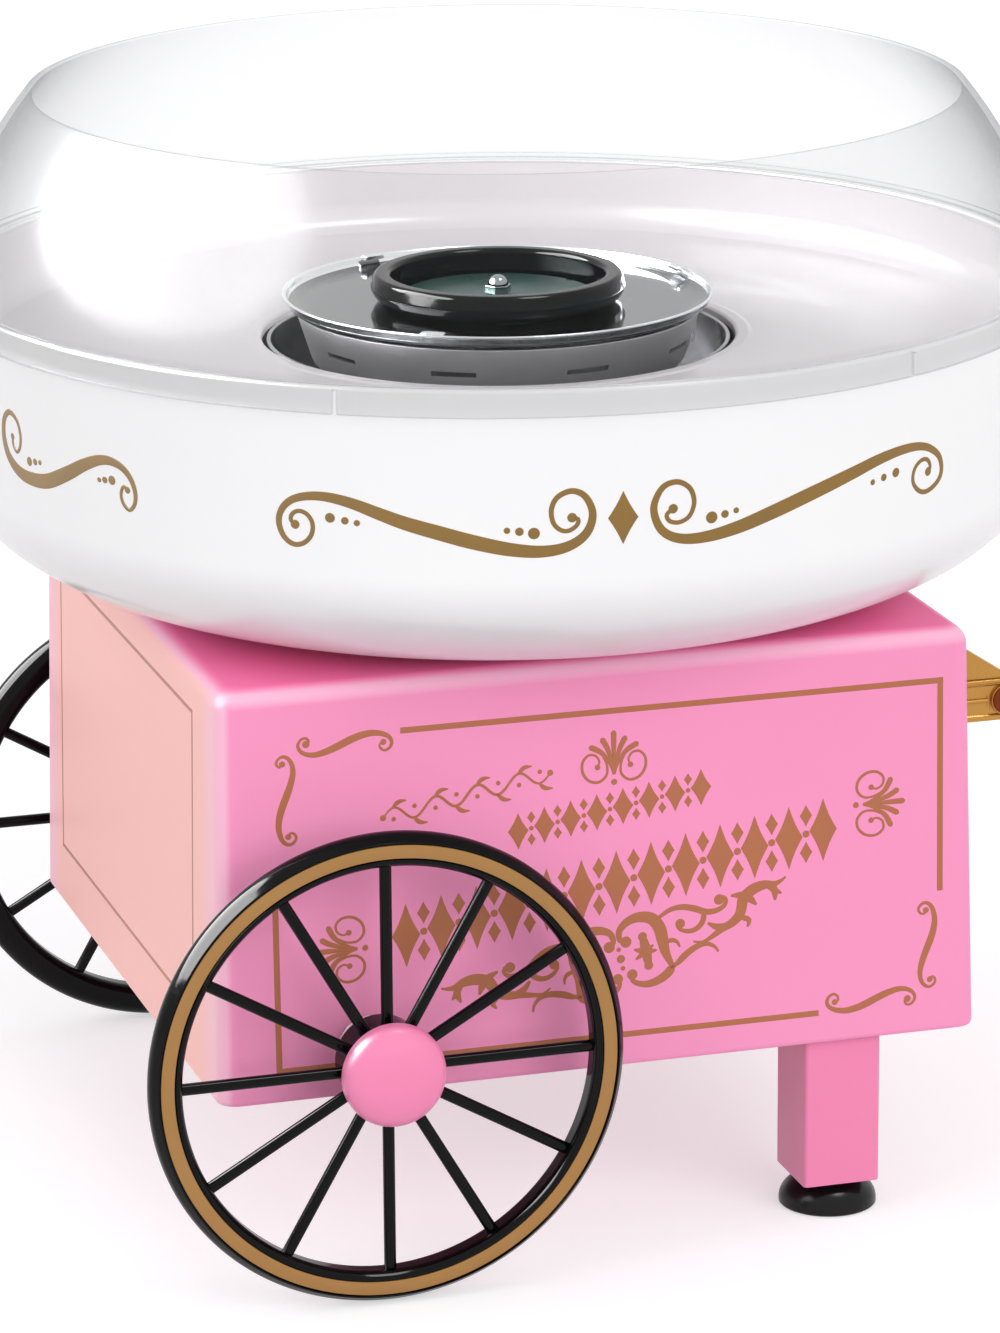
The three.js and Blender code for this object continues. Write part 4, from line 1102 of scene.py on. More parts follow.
@dataclass
class CartBody(Assembly):
    """The pink cart with its openings, base plate, legs and rubber feet."""

    sizes: CartSizes = field(default_factory=lambda: CART)
    ceiling_drop: float = 2.4
    cut_depth: float = 8.0
    shaft_hole: float = 16.0
    shaft_cut: Pair = (150.0, 12.0)
    collar: Pair = (64.9, 67.4)
    collar_top: float = 160.9
    post: Pair = (91.25, 88.0)
    post_radius: float = 4.0
    post_foot: float = 54.4
    vent_count: int = 7
    vent_pitch: float = 9.0
    vent_centre: Pair = (-45.0, 100.0)
    vent_size: Pair = (3.0, 26.0)
    switch_opening: Pair = (14.0, 20.0)
    gland_hole: float = 6.3
    axle_hole: float = 5.4
    leg_x: float = 63.5
    leg_y: float = 85.0
    leg_size: Triple = (21.0, 22.0, 1.2)
    leg_span: Pair = (8.3, 51.4)
    cup_radius: float = 12.9
    cup_height: float = 8.0
    stem: Pair = (4.0, 14.2)

    def skin(self) -> Shell:
        """The box, as level outlines.

        They run from the ceiling down the inside, round the lip, up the outside and over the top edge.
        The top edge is a quarter circle, by sine and cosine, and the lip one that is half as wide.

        Returns:
            The closed skin.
        """
        s = self.sizes
        ceiling = s.top - self.ceiling_drop
        rows = [
            (ceiling, s.wall + 0.6), (ceiling - 0.6, s.wall), (s.bottom + 1, s.wall),
            (s.bottom, s.wall - 0.3),
        ]
        lip, over = np.radians(np.linspace(90, 0, 4)), np.radians(np.linspace(0, 90, 11))
        rows += zip(s.bottom + s.bottom_round * (1 - np.sin(lip)), s.bottom_round * (1 - np.cos(lip)) / 2)
        rows += zip(s.top - s.top_round * (1 - np.sin(over)), s.top_round * (1 - np.cos(over)))
        return grid_shell(np.stack([s.outline(z, drawn_in) for z, drawn_in in rows]))

    def openings(self) -> list[Shell]:
        """What is cut out of the box: vents, switch opening, and holes for the gland, axle and shaft.

        Returns:
            The skins to cut out.
        """
        s, deep = self.sizes, self.cut_depth
        outline = rounded_rectangle(*self.vent_size, self.vent_size[0] / 2 - 0.01, 6)
        vent_x, vent_z = self.vent_centre
        offsets = (np.arange(self.vent_count) - (self.vent_count - 1) / 2) * self.vent_pitch
        vent = slab(outline, [(0, -deep), (0, deep)])
        cuts = [vent.placed(Axis.FORWARD, (vent_x + dx, s.side(vent_z), vent_z)) for dx in offsets]
        width, height = self.switch_opening
        x, z = s.switch
        cuts.append(box((width, deep, height), (x, s.side(z), z)))
        for (x, z), radius, sides in ((s.gland, self.gland_hole, (1,)), (s.axle, self.axle_hole, (-1, 1))):
            hole = rod(radius, deep, 0)
            cuts += [hole.placed(Axis.BACKWARD, (x, side * s.side(z) - deep / 2, z)) for side in sides]
        low, length = self.shaft_cut
        return [*cuts, rod(self.shaft_hole, length, 0, 64).shifted((0, 0, low))]

    def build(self) -> None:
        """Makes the box, its collar and posts, the legs and the feet."""
        s = self.sizes
        self.add("cart_shell", self.skin(), Slot.PINK, PINK, ["cart_body"], cutters=self.openings())
        inner, outer = self.collar
        low, high = s.top - 0.5, self.collar_top
        section = [(inner, low), (outer, low), (outer, high), (inner, high)]
        self.add("bowl_collar", turned(rounded(section, 0.7, 3)), Slot.PINK, PINK_TRIM, ["cart_body"])
        post = rod(self.post_radius, s.top - 1 - self.post_foot, 0.4)
        x, y = self.post
        posts = [post.shifted((s.centre_x + a * x, b * y, self.post_foot)) for a in (-1, 1) for b in (-1, 1)]
        self.add("screw_posts", posts, Slot.PINK, PINK_TRIM, ["cart_body"])
        self.keep("base_plate", PINK_TRIM)
        for name, side in SIDES:
            self.leg(name, side)

    def leg(self, name: str, side: int) -> None:
        """One leg and the rubber cup under it.

        Args:
            name: front or back.
            side: -1 in front and 1 behind.
        """
        at = (self.leg_x, side * self.leg_y, 0)
        low, high = self.leg_span
        post = eased_slab(rounded_rectangle(*self.leg_size, 4), low, high, 0.35).shifted(at)
        self.add(f"leg_{name}_post", post, Slot.PINK, PINK_TRIM, [f"leg_{name}"])
        radius, height = self.cup_radius, self.cup_height
        stem, stem_top = self.stem
        profile = np.vstack([
            [(0, 2.6), (5.0, 2.3), (8.2, 0.9), (radius - 1.6, 0.0), (radius - 0.3, 0.0), (radius, 0.35)],
            arc((4.2, 1.1), (radius - 4.2, height - 1.4), 4, 88, 14),
            [(stem, height), (stem, stem_top), (0, stem_top)],
        ])
        cup = turned(profile, 96).shifted(at)
        self.add(f"suction_foot_{name}", cup, Slot.RUBBER, RUBBER, [f"suction_cup_{name}"], 40)


@dataclass
class Wheel(Assembly):
    """A spoked wheel built about its own Z axis, which points away from the cart, then set on the axle."""

    name: str
    side: int
    radius: float = 62.06
    thickness: float = 8.0
    rim_inner: float = 53.6
    band: Pair = (56.0, 59.5)
    groove: float = 1.0
    bore: float = 3.3
    hub: float = 11.5
    hub_length: float = 13.6
    spoke_count: int = 12
    spoke_radius: float = 1.55
    cap_radius: float = 13.4
    cap_height: float = 7.6
    face_y: float = 119.6

    def __post_init__(self) -> None:
        """Works out the body, the axis and the place."""
        self.body = Body("wheel_" + self.name)
        self.axis = Axis.FORWARD if self.side < 0 else Axis.BACKWARD
        self.at = (CART.axle[0], self.side * self.face_y, CART.axle[1])

    def rim(self) -> Shell:
        """The tyre and rim: rounded shoulders outside, a groove for the gold band, and a rounded inner edge.

        Returns:
            The closed skin, about its own axis.
        """
        back, outer, inner = -self.thickness, self.radius, self.rim_inner
        low, high = self.band[0] - 0.3, self.band[1] + 0.3
        corners = [
            (inner, back + 1.6), (inner + 1.6, back), (outer - 2.6, back), (outer, back + 2.4),
            (outer, -2.6), (outer - 1.9, 0), (high, 0), (high, -self.groove),
            (low, -self.groove), (low, 0), (inner + 1.2, 0), (inner, -1.4),
        ]
        radii = [1.2, 1.2, 2.4, 2.0, 1.8, 1.4, 0.25, 0.1, 0.1, 0.25, 1.0, 1.0]
        return turned(rounded(corners, radii, 5), 224)

    def build(self) -> None:
        """Makes the rim, hub, spokes, gold band and cap."""
        node = "wheel_" + self.name
        hub = [(self.bore, -self.hub_length), (self.hub, -self.hub_length), (self.hub, 0), (self.bore, 0)]
        spoke = rod(self.spoke_radius, self.rim_inner - self.hub + 2.2, 0.2, 20)
        spoke = spoke.placed(Axis.RIGHT, (self.hub - 1, 0, -self.thickness / 2))
        parts = {
            "rim": self.rim(),
            "hub": turned(rounded(hub, [0.3, 1.8, 0.6, 0.3], 4), 96),
            "spokes": joined(spoke.copies(even_turns(self.spoke_count))),
        }
        for name, shell in parts.items():
            self.add(f"{node}_{name}", shell.placed(self.axis, self.at), Slot.BLACK, BLACK, [node])
        low, high = self.band
        section = np.array([(low, -0.7), (high, -0.7), (high, -0.18), ((low + high) / 2, 0.0), (low, -0.18)])
        band = turned(rounded(section, [0.05, 0.05, 0.15, 1.4, 0.15], 4), 224).placed(self.axis, self.at)
        self.add(f"{node}_band", band, Slot.BAND, BAND, [f"wheel_band_{self.name}"])
        self.add(f"hub_cap_{self.name}_dome", self.cap(), Slot.PINK, PINK_TRIM, [f"hub_cap_{self.name}"])

    def cap(self) -> Shell:
        """The domed cap: a short skirt, then a crown that follows a superellipse, and a hollow behind.

        Returns:
            The closed skin, set on the axle.
        """
        skirt, radius, height = 2.0, self.cap_radius, self.cap_height
        angle = np.linspace(0, math.pi / 2, 22)
        power = 2 / 2.5
        across, rise = np.cos(angle) ** power, np.sin(angle) ** power
        crown = np.stack([radius * across, skirt + (height - skirt) * rise], axis=1)
        crown[-1, 0] = 0
        back = np.array([(0, 3.5), (9, 3.5), (9, 0.3), (radius - 0.5, 0.3), (radius, 0.8)])
        return turned(np.vstack([back, crown]), 96).placed(self.axis, self.at)


@dataclass
class PushHandle(Assembly):
    """The gold handle: two gusseted arms with a raised edge, joined by a round bar."""

    arm_y: float = 70.0
    thickness: float = 6.0
    foot_x: float = 98.76
    foot_width: float = 14.0
    foot_thickness: float = 2.4
    foot_margin: float = 1.5
    low: float = 124.2
    high: float = 135.6
    gusset_top: float = 148.0
    gusset_reach: float = 20.0
    gusset_set_back: float = 0.8
    reach: float = 18.0
    tail: float = 3.0
    bar_radius: float = 4.2
    bar_end: float = 74.0
    ribs: Spots = ((135.0, 119.0, 0.6), (129.9, 112.0, 0.5))

    def arm(self) -> list[Shell]:
        """An arm lying flat: a beam with a raised rim on both faces, and a thinner gusset over it.

        Returns:
            The beam and the gusset.
        """
        web = self.foot_x + self.foot_thickness / 2
        radius, middle = (self.high - self.low) / 2, (self.low + self.high) / 2
        end = arc((self.foot_x + self.reach + self.tail, middle), (radius, radius), -90, 90, 20)
        half = self.thickness / 2
        levels = [
            (1.9, half - 0.6), (1.5, half - 0.1), (1.3, half), (0.5, half), (0.15, half - 0.15),
            (0, half - 0.5),
        ]
        levels = [(i, -h) for i, h in levels] + [(i, h) for i, h in levels[::-1]]
        beam = slab(np.vstack([[(web, self.low)], end, [(web, self.high)]]), levels)
        tip = self.foot_x + self.gusset_reach
        corners = [
            (web, self.high - 2.5), (tip + 3.0, self.high - 2.5), (tip, self.high), (web, self.gusset_top),
        ]
        depth = half - self.gusset_set_back
        return [beam, eased_slab(np.asarray(corners), -depth, depth, 0.4)]

    def rib(self, y: float, z: float, end: float, radius: float) -> Shell:
        """A bar along the arm that stands a little out of both its faces.

        Args:
            y: place of the arm's middle.
            z: the rib's height.
            end: place of its free end along x.
            radius: half its height.

        Returns:
            The closed skin.
        """
        start = self.foot_x + self.foot_thickness - 0.4
        outline = rounded_rectangle(2 * radius, self.thickness + 0.7, 0.55, 4)
        bar = eased_slab(outline, 0, end - start, 0.3)
        return bar.moved(Matrix(((0, 0, 1, start), (0, 1, 0, y), (1, 0, 0, z), (0, 0, 0, 1))))

    def build(self) -> None:
        """Makes the arms with their feet, and the bar with its dark ends of painted shade."""
        middle = (self.low + self.high) / 2
        low, high = self.low - self.foot_margin, self.gusset_top + self.foot_margin
        foot = eased_slab(rounded_rectangle(self.foot_width, high - low, 2.0, 5), 0, self.foot_thickness, 0.6)
        stand = Matrix(((0, 0, 1, self.foot_x), (1, 0, 0, 0), (0, 1, 0, (low + high) / 2), (0, 0, 0, 1)))
        foot = foot.moved(stand)
        for name, side in SIDES:
            y = side * self.arm_y
            arm = [shell.placed(Axis.FORWARD, (0, y, 0)) for shell in self.arm()]
            ribs = [self.rib(y, *span) for span in self.ribs]
            parts = [*arm, foot.shifted((0, y, 0)), *ribs]
            self.add(f"handle_{name}_arm", parts, Slot.GOLD, GOLD, [f"handle_arm_{name}"])
            self.keep(f"handle_screw_{name}", STEEL)
        x, end = self.foot_x + self.reach, self.bar_end
        bar = rod(self.bar_radius, 2 * end - 1, 0.3, 48).placed(Axis.BACKWARD, (x, 0.5 - end, middle))
        self.add("handle_grip", bar, Slot.GOLD, GOLD, ["handle_bar"])
        # Painted shade: thin dark brown caps on the bar's ends.
        cap = rod(self.bar_radius - 0.35, 1.0, 0.4)
        caps = [cap.placed(Axis.BACKWARD, (x, y, middle)) for y in (-end, end - 1)]
        self.add("handle_bar_ends", caps, Slot.GOLD, SHADED_BAR_END, ["handle_bar"])


@dataclass
class BowlSizes:
    """The round bowl's outer surface: a flat foot, an elliptical corner and a nearly upright side."""

    foot: float = 157.7
    hole: float = 68.0
    foot_radius: float = 74.0
    shoulder: Pair = (144.0, 192.0)
    rim: Pair = (145.0, 240.0)
    wall: float = 2.4

    def radius(self, z: Array) -> Array:
        """The outside radius at a height: a straight side above the shoulder, part of an ellipse below it.

        Args:
            z: the heights.

        Returns:
            The radius at each.
        """
        (low_radius, low), (high_radius, high) = self.shoulder, self.rim
        side = low_radius + (high_radius - low_radius) * (z - low) / (high - low)
        drop = np.clip((low - z) / (low - self.foot), 0, 1)
        corner = self.foot_radius + (low_radius - self.foot_radius) * np.sqrt(1 - drop**2)
        return np.where(z >= low, side, corner)


BOWL = BowlSizes()


@dataclass
class Bowl(Assembly):
    """The white bowl: an outer shell and the shallow tray dropped into it."""

    body: ClassVar[Body] = Body.BOWL
    sizes: BowlSizes = field(default_factory=lambda: BOWL)
    ledge: float = 223.0
    tray_floor: float = 218.6
    tray_floor_radius: float = 108.0
    tray_hole: float = 62.6
    tray_lip: float = 222.0

    def shell(self) -> Shell:
        """The outer wall, from the hole's edge round the outside, over the rim and back down the inside.

        Returns:
            The closed skin.
        """
        s = self.sizes
        reach, rise = s.shoulder[0] - s.foot_radius, s.shoulder[1] - s.foot
        centre = (s.foot_radius, s.shoulder[1])
        outer = arc(centre, (reach, rise), -90, 0, 40)
        inner = arc(centre, (reach - s.wall, rise - s.wall), 0, -90, 30)
        inside = s.rim[0] - s.wall
        edge = rounded(
            [s.shoulder, s.rim, (inside, s.rim[1]), (inside, self.ledge), (inside - 2.6, self.ledge),
             (inside - 2.6, self.ledge - 2), (s.shoulder[0] - s.wall, self.ledge - 8)],
            [0, 1.2, 0.8, 0.3, 0.4, 0.6, 0], 5,
        )
        hole = [(s.hole, s.foot + s.wall), (s.hole, s.foot + 0.4), (s.hole + 0.4, s.foot)]
        return turned(np.vstack([hole, outer[1:], edge[1:-1], inner]), 256)

    def tray(self) -> Shell:
        """The tray: a raised lip round the hole, a shallow floor, a wide corner and a wall inside the rim.

        Returns:
            The closed skin.
        """
        wall = self.sizes.rim[0] - self.sizes.wall - 0.3
        inside, top = wall - 2.0, self.sizes.rim[1] - 0.3
        corner = arc((inside - 9, self.tray_floor + 11), (9, 8.6), 0, -70, 16)
        under = rounded(
            [(self.tray_hole, self.tray_lip - 2), (self.tray_floor_radius, self.tray_floor - 2),
             (wall - 9.6, self.tray_floor - 1), (wall - 3.6, self.ledge + 0.3), (wall, self.ledge + 0.3),
             (wall, top), (inside + 0.2, top)],
            [0, 4, 2, 0.3, 0.3, 0.5, 0.5], 5,
        )
        floor = rounded(
            [(corner[-1, 0], corner[-1, 1]), (self.tray_floor_radius, self.tray_floor),
             (self.tray_hole + 4.6, self.tray_lip - 0.4), (self.tray_hole + 3.6, self.tray_lip),
             (self.tray_hole + 0.7, self.tray_lip), (self.tray_hole, self.tray_lip - 0.7)],
            [0, 8, 0.5, 0.6, 0.5, 0.3], 6,
        )
        return turned(np.vstack([under, corner, floor[1:]]), 256)

    def build(self) -> None:
        """Makes the shell and the tray."""
        self.add("bowl_outer", self.shell(), Slot.WHITE, WHITE, ["bowl_shell"])
        # The tray's greyer white is painted shade.
        self.add("bowl_inner_tray", self.tray(), Slot.WHITE, SHADED_TRAY, ["bowl_tray"])


@dataclass
class FlossGuard(Assembly):
    """The clear guard: a slit skirt outside the bowl's rim, a shoulder, and a bulging wall that leans in."""

    body: ClassVar[Body] = Body.GUARD
    skirt: Pair = (145.6, 147.6)
    skirt_bottom: float = 233.5
    ledge: float = 240.3
    shoulder: float = 241.4
    top: float = 288.4
    mouth: float = 123.4
    wall: float = 2.0
    bulge: float = 3.1
    slit: Pair = (1.2, 7.0)
    slit_count: int = 6
    slit_turn: float = -0.045

    def side(self, drawn_in: float) -> Array:
        """The leaning wall: a straight line pushed out by a parabola, 4 b t (1 - t).

        Args:
            drawn_in: how far the line lies inside the outer face.

        Returns:
            Points as (radius, height).
        """
        start = np.array([self.skirt[1] - 1.6 - drawn_in, self.shoulder])
        end = np.array([self.mouth - drawn_in, self.top - 0.5])
        t = np.linspace(0, 1, 25)[:, None]
        along = (end - start) / np.linalg.norm(end - start)
        outward = np.array([along[1], -along[0]])
        return start + (end - start) * t + outward * 4 * self.bulge * t * (1 - t)

    def build(self) -> None:
        """Makes the guard and cuts the slits in its skirt."""
        (inner, outer), foot = self.skirt, self.skirt_bottom
        corners = [
            (inner, self.ledge), (inner, foot), (outer, foot), (outer, self.shoulder - 0.8),
            (outer - 0.8, self.shoulder),
        ]
        low = rounded(corners, [0.2, 0.4, 0.5, 0.3, 0.3], 4)
        lip = arc((self.mouth - self.wall / 2, self.top - 0.6), (self.wall / 2, 0.6), 10, 170, 6)
        seat = [(outer - 1.6 - self.wall, self.ledge)]
        profile = np.vstack([low, self.side(0), lip, self.side(self.wall)[::-1], seat])
        width, height = self.slit
        slit = box((8, width, height), (inner + 2, 0, foot + height / 2 - 1))
        slits = slit.copies(even_turns(self.slit_count, self.slit_turn))
        self.add("guard_wall", turned(profile, 256), Slot.CLEAR, CLEAR, ["floss_guard"], cutters=slits)


@dataclass
class Heater(Assembly):
    """The fixed well under the head, with its element, and the pedestal that carries it."""

    well: float = 61.4
    floor: float = 198.4
    rim: float = 221.0
    wall: float = 1.2
    element: float = 42.0
    element_z: float = 207.8
    element_leg: Triple = (1.6, 14.0, 0.22)
    tube: float = 3.2
    pedestal: float = 32.0
    pedestal_foot: float = 157.7
    pedestal_top: float = 198.1
    pedestal_wall: float = 2.4
    flange: float = 46.0
    shelf: float = 12.0

    def build(self) -> None:
        """Makes the well, the element and the pedestal, and keeps the CAD seat."""
        well, wall = self.well, self.wall
        profile = rounded(
            [(9, self.floor), (well, self.floor), (well, self.rim), (well - wall, self.rim),
             (well - wall, self.floor + wall), (9, self.floor + wall)],
            [0.3, 3.0, 0.5, 0.5, 2.4, 0.3], 5,
        )
        self.add("heater_dish", turned(profile, 192), Slot.STEEL, WELL, ["heater_well"])
        ring = turned(arc((self.element, self.element_z), (self.tube, self.tube), 0, 345, 23), 192)
        radius, length, turn = self.element_leg
        leg = rod(radius, length, 0.2, 20).shifted((self.element, 0, self.element_z - length))
        element = [ring, *leg.copies((-turn, turn))]
        self.add("element_ring", element, Slot.DARK_STEEL, DARK_STEEL, ["heating_element"])
        pedestal = turned(self.pedestal_profile(), 128)
        self.add("well_pedestal", pedestal, Slot.ALUMINIUM, ALUMINIUM, ["heater_pedestal"])
        self.keep("element_seat", CERAMIC)

    def pedestal_profile(self) -> Array:
        """A tube with a flange at its foot and a shelf at its top that the well rests on.

        Returns:
            Points as (radius, height).
        """
        outer, wall = self.pedestal, self.pedestal_wall
        foot, top, shelf = self.pedestal_foot, self.pedestal_top, outer - self.shelf
        return rounded(
            [(outer - wall, foot), (self.flange, foot), (self.flange, foot + wall), (outer, foot + wall),
             (outer, top), (shelf, top), (shelf, top - wall), (outer - wall, top - wall)],
            [0.3, 0.6, 0.6, 1.2, 0.8, 0.3, 0.3, 1.0], 4,
        )


@dataclass
class SpinningHead(Assembly):
    """What turns in the bowl: the sugar cup, the polished disc, the black ring, the plate and the nut."""

    body: ClassVar[Body] = Body.HEAD
    disc: float = 57.2
    disc_z: float = 229.2
    disc_thickness: float = 1.2
    disc_flat: float = 52.0
    disc_hole: float = 27.0
    lip: float = 233.2
    ring: Pair = (28.2, 33.8)
    ring_height: float = 7.5
    plate: Pair = (1.9, 25.6)
    plate_z: float = 230.7
    plate_thickness: float = 1.4
    nut: float = 3.6
    nut_height: float = 2.1
    nut_z: float = 232.4
    dome: float = 2.8
    tab: Triple = (3.0, 6.4, 0.9)
    tab_turns: tuple[float, ...] = (-34.5, 102.0, 201.0)
    cup: Pair = (49.0, 53.6)
    cup_span: Pair = (214.6, 228.9)
    cup_wall: float = 1.2
    tube: Pair = (2.8, 6.5)
    tube_top: float = 230.4
    slot_count: int = 9
    slot_size: Triple = (9.6, 12.0, 1.4)
    slot_place: Triple = (51.3, 0.0, 221.75)

    def disc_profile(self) -> Array:
        """The disc: a flat and a short slope that ends inside the lip.

        Returns:
            Points as (radius, height).
        """
        z, r = self.disc_z, self.disc
        top = z + self.disc_thickness
        return rounded(
            [(self.disc_hole, z), (self.disc_flat, z), (r - 1.8, z + 0.9), (r - 1.2, z + 1.7),
             (r - 1.7, z + 2.0), (self.disc_flat, top), (self.disc_hole, top)],
            [0.2, 2, 0.4, 0.3, 0.4, 2, 0.2], 5,
        )

    def lip_profile(self) -> Array:
        """The lip: a thin wall with a round top that leans in under it, closed over the disc's edge.

        Returns:
            Points as (radius, height).
        """
        z, r = self.disc_z, self.disc
        return rounded(
            [(r - 1.9, z + 0.85), (r - 0.45, self.lip - 0.9), (r, self.lip - 0.4), (r, self.lip),
             (r - 1.0, self.lip), (r - 1.5, z + 2.4), (r - 2.1, z + 1.6)],
            [0.2, 0.4, 0.2, 0.35, 0.45, 0.3, 0.2], 5,
        )

    def ring_profile(self) -> Array:
        """The ring: it widens to its waist, leans back in a facet and has a narrow flat top.

        Returns:
            Points as (radius, height).
        """
        inner, outer = self.ring
        z, h = self.plate_z, self.ring_height
        return rounded(
            [(inner, z), (outer - 3.0, z), (outer - 1.0, z + 0.21 * h), (outer, z + 0.48 * h),
             (outer - 0.9, z + 0.9 * h), (outer - 1.7, z + h), (inner + 0.9, z + h), (inner, z + h - 0.9)],
            [0.3, 0.3, 0.4, 0.5, 0.4, 0.4, 0.5, 0.5], 4,
        )

    def build(self) -> None:
        """Makes the disc, ring, plate, nut and cup, and keeps the CAD shaft, rotor and fan."""
        # The disc's dark metal is painted shade, and its lip's near-white metal is a painted highlight, on
        # one spun plate.
        disc = turned(self.disc_profile(), 224)
        self.add("spinning_disc", disc, Slot.CHROME, MIRROR, ["extractor_disc"])
        self.add("disc_lip", turned(self.lip_profile(), 224), Slot.CHROME, LIT_EDGE, ["extractor_disc"])
        tab = eased_slab(rounded_rectangle(*self.tab, 4), self.lip - 0.9, self.lip + 0.3, 0.2)
        turns = [math.radians(turn - 90) for turn in self.tab_turns]
        self.add("disc_tabs", tab.shifted((self.disc - 1.9, 0, 0)).copies(turns), Slot.CHROME, LIT_EDGE)
        self.add("floss_ring", turned(self.ring_profile(), 192), Slot.BLACK, RING, ["extractor_ring"])
        (inner, outer), low = self.plate, self.plate_z
        high = low + self.plate_thickness
        plate = rounded([(inner, low), (outer, low), (outer, high), (inner, high)], 0.35, 3)
        self.add("teal_hub_plate", turned(plate, 128), Slot.TEAL, TEAL, ["hub_plate"])
        self.add("dome_nut", self.acorn(), Slot.CHROME, CHROME, ["acorn_nut"], 40)
        slots = box(self.slot_size, self.slot_place).copies(even_turns(self.slot_count))
        self.add("melting_cup", self.sugar_cup(), Slot.ALUMINIUM, ALUMINIUM, ["sugar_cup"], cutters=slots)
        self.keep("drive_shaft", STEEL)
        self.keep("rotor_core", DARK_STEEL)
        self.keep("cooling_fan", NYLON)

    def acorn(self) -> list[Shell]:
        """The nut: a hexagon with eased edges under a dome.

        Returns:
            The hexagon and the dome.
        """
        z, radius, dome = self.nut_z, self.nut, self.dome
        base = eased_slab(arc((0, 0), (radius, radius), 0, 300, 5), z, z + self.nut_height, 0.3)
        profile = np.vstack([[(0, 1.6), (dome, 1.6)], arc((0, 2.0), (dome, dome), 0, 90, 12)])
        profile[-1, 0] = 0
        return [base, turned(profile, 48).shifted((0, 0, z))]

    def sugar_cup(self) -> Shell:
        """The melting cup: a floor, a flaring wall and a tube round the shaft.

        Returns:
            The closed skin.
        """
        (low, high), (floor, rim), (bore, tube) = self.cup, self.cup_span, self.tube
        wall, top = self.cup_wall, self.tube_top
        profile = [
            (bore, floor), (low, floor), (high, rim), (high - wall, rim), (low - wall, floor + wall),
            (tube, floor + wall), (tube, top), (bore, top),
        ]
        return turned(rounded(profile, [0.2, 2.0, 0.4, 0.4, 1.4, 0.8, 0.3, 0.3], 4), 160)


@dataclass
class BackFittings(Assembly):
    """The switch and the cord gland on the back wall, which leans by the cart's draft."""

    bezel: Triple = (20.0, 26.0, 2.2)
    housing: Triple = (13.4, 18.8, 0.6)
    pocket: Triple = (10.6, 17.0, 14.0)
    rocker_tilt: float = -0.16

    def on_wall(self, x: float, z: float) -> Matrix:
        """The place on the back wall whose own Y points out of the wall."""
        lean = math.atan(CART.width_draft / 2 / CART.height)
        return Matrix.Translation((x, CART.side(z), z)) @ Matrix.Rotation(lean, 4, "X")

    def build(self) -> None:
        """Makes the switch's bezel and rocker, and the cord gland."""
        place = self.on_wall(*CART.switch)
        facing = Axis.BACKWARD.value
        plate = eased_slab(rounded_rectangle(*self.bezel, 5), 0.3, 2.1, 0.6)
        housing = eased_slab(rounded_rectangle(*self.housing, 3), -12, 1.0, 0.3)
        pocket = box(self.pocket, (0, 0, -2.0))
        plate, housing, pocket = (s.moved(place @ facing) for s in (plate, housing, pocket))
        self.add("switch_frame", [plate, housing], Slot.BLACK, BLACK, ["switch_bezel"], cutters=[pocket])
        self.rocker(place)
        profile = [(2.9, -14), (6, -14), (6, 0.3), (9, 0.3), (9, 2.3), (7.5, 3.3), (2.9, 3.3)]
        gland = turned(rounded(profile, [0.2, 0.6, 0.1, 0.3, 0.6, 0.5, 0.6], 4), 64)
        gland = gland.moved(self.on_wall(*CART.gland) @ facing)
        self.add("cord_grommet", gland, Slot.BLACK, RUBBER, ["cord_gland"])

    def rocker(self, place: Matrix) -> None:
        """The rocker: a shallow crown over a keel, tilted about its pivot.

        Args:
            place: the place on the wall.
        """
        outline = rounded(
            [(-7.5, 3.2), (-7.0, 0.0), (-3.0, -3.5), (3.0, -3.5), (7.0, 0.0), (7.5, 3.2), (0, 4.4)],
            [0.8, 0.3, 0.3, 0.3, 0.3, 0.8, 6], 5,
        )
        levels = [(0.35, -5.0), (0.1, -4.9), (0, -4.65), (0, 4.65), (0.1, 4.9), (0.35, 5.0)]
        stand = Matrix(((0, 0, 1, 0), (0, 1, 0, 0), (1, 0, 0, 0), (0, 0, 0, 1)))
        tilt = Matrix.Translation((0, -1.0, 0)) @ Matrix.Rotation(self.rocker_tilt, 4, "X")
        shell = slab(outline, levels).moved(place @ tilt @ stand).facing_out()
        self.add("rocker_cap", shell, Slot.BLACK, BLACK, ["switch_rocker"], body=Body.ROCKER)


class InnerWorks(Assembly):
    """The CAD nodes that stay as they are: motor, wiring, axle and screws."""

    finishes: ClassVar[dict[Finish, tuple[str, ...]]] = {
        STEEL: (
            "axle", "push_nut_front", "push_nut_back", "motor_can", "motor_bracket", "leg_screw_front",
            "leg_screw_back", *(f"base_screw_{i}" for i in range(1, 5)),
            *(f"bracket_screw_{i}" for i in range(1, 4)),
        ),
        BLACK: ("motor_end_cap", "lead_supply", "lead_motor", "lead_switch"),
        RUBBER: ("motor_mount",),
        BRONZE: ("motor_bush_top", "motor_bush_bottom"),
        MAGNET: ("ring_magnet",),
        NYLON: ("terminal_block", "axle_bush_front", "axle_bush_back"),
    }

    def build(self) -> None:
        """Lists each node with its finish."""
        for finish, nodes in self.finishes.items():
            for node in nodes:
                self.keep(node, finish)


def bowl_surface(u: Array, v: Array, height: Array) -> Array:
    """A place on the bowl: u is the turn from the front in degrees, v the height, on the outside radius."""
    angle, radius = np.radians(u), BOWL.radius(v) + height
    return np.stack([radius * np.sin(angle), -radius * np.cos(angle), v], axis=-1)


def long_side(side: int) -> Surface:
    """The leaning long wall as a surface: u runs to the right as one looks at it, v is the height.

    Args:
        side: -1 for the front wall and 1 for the back one.

    Returns:
        The surface.
    """

    def surface(u: Array, v: Array, height: Array) -> Array:
        """A place on the wall."""
        return np.stack([-side * u, side * (CART.side(v) + height), v], axis=-1)

    return surface


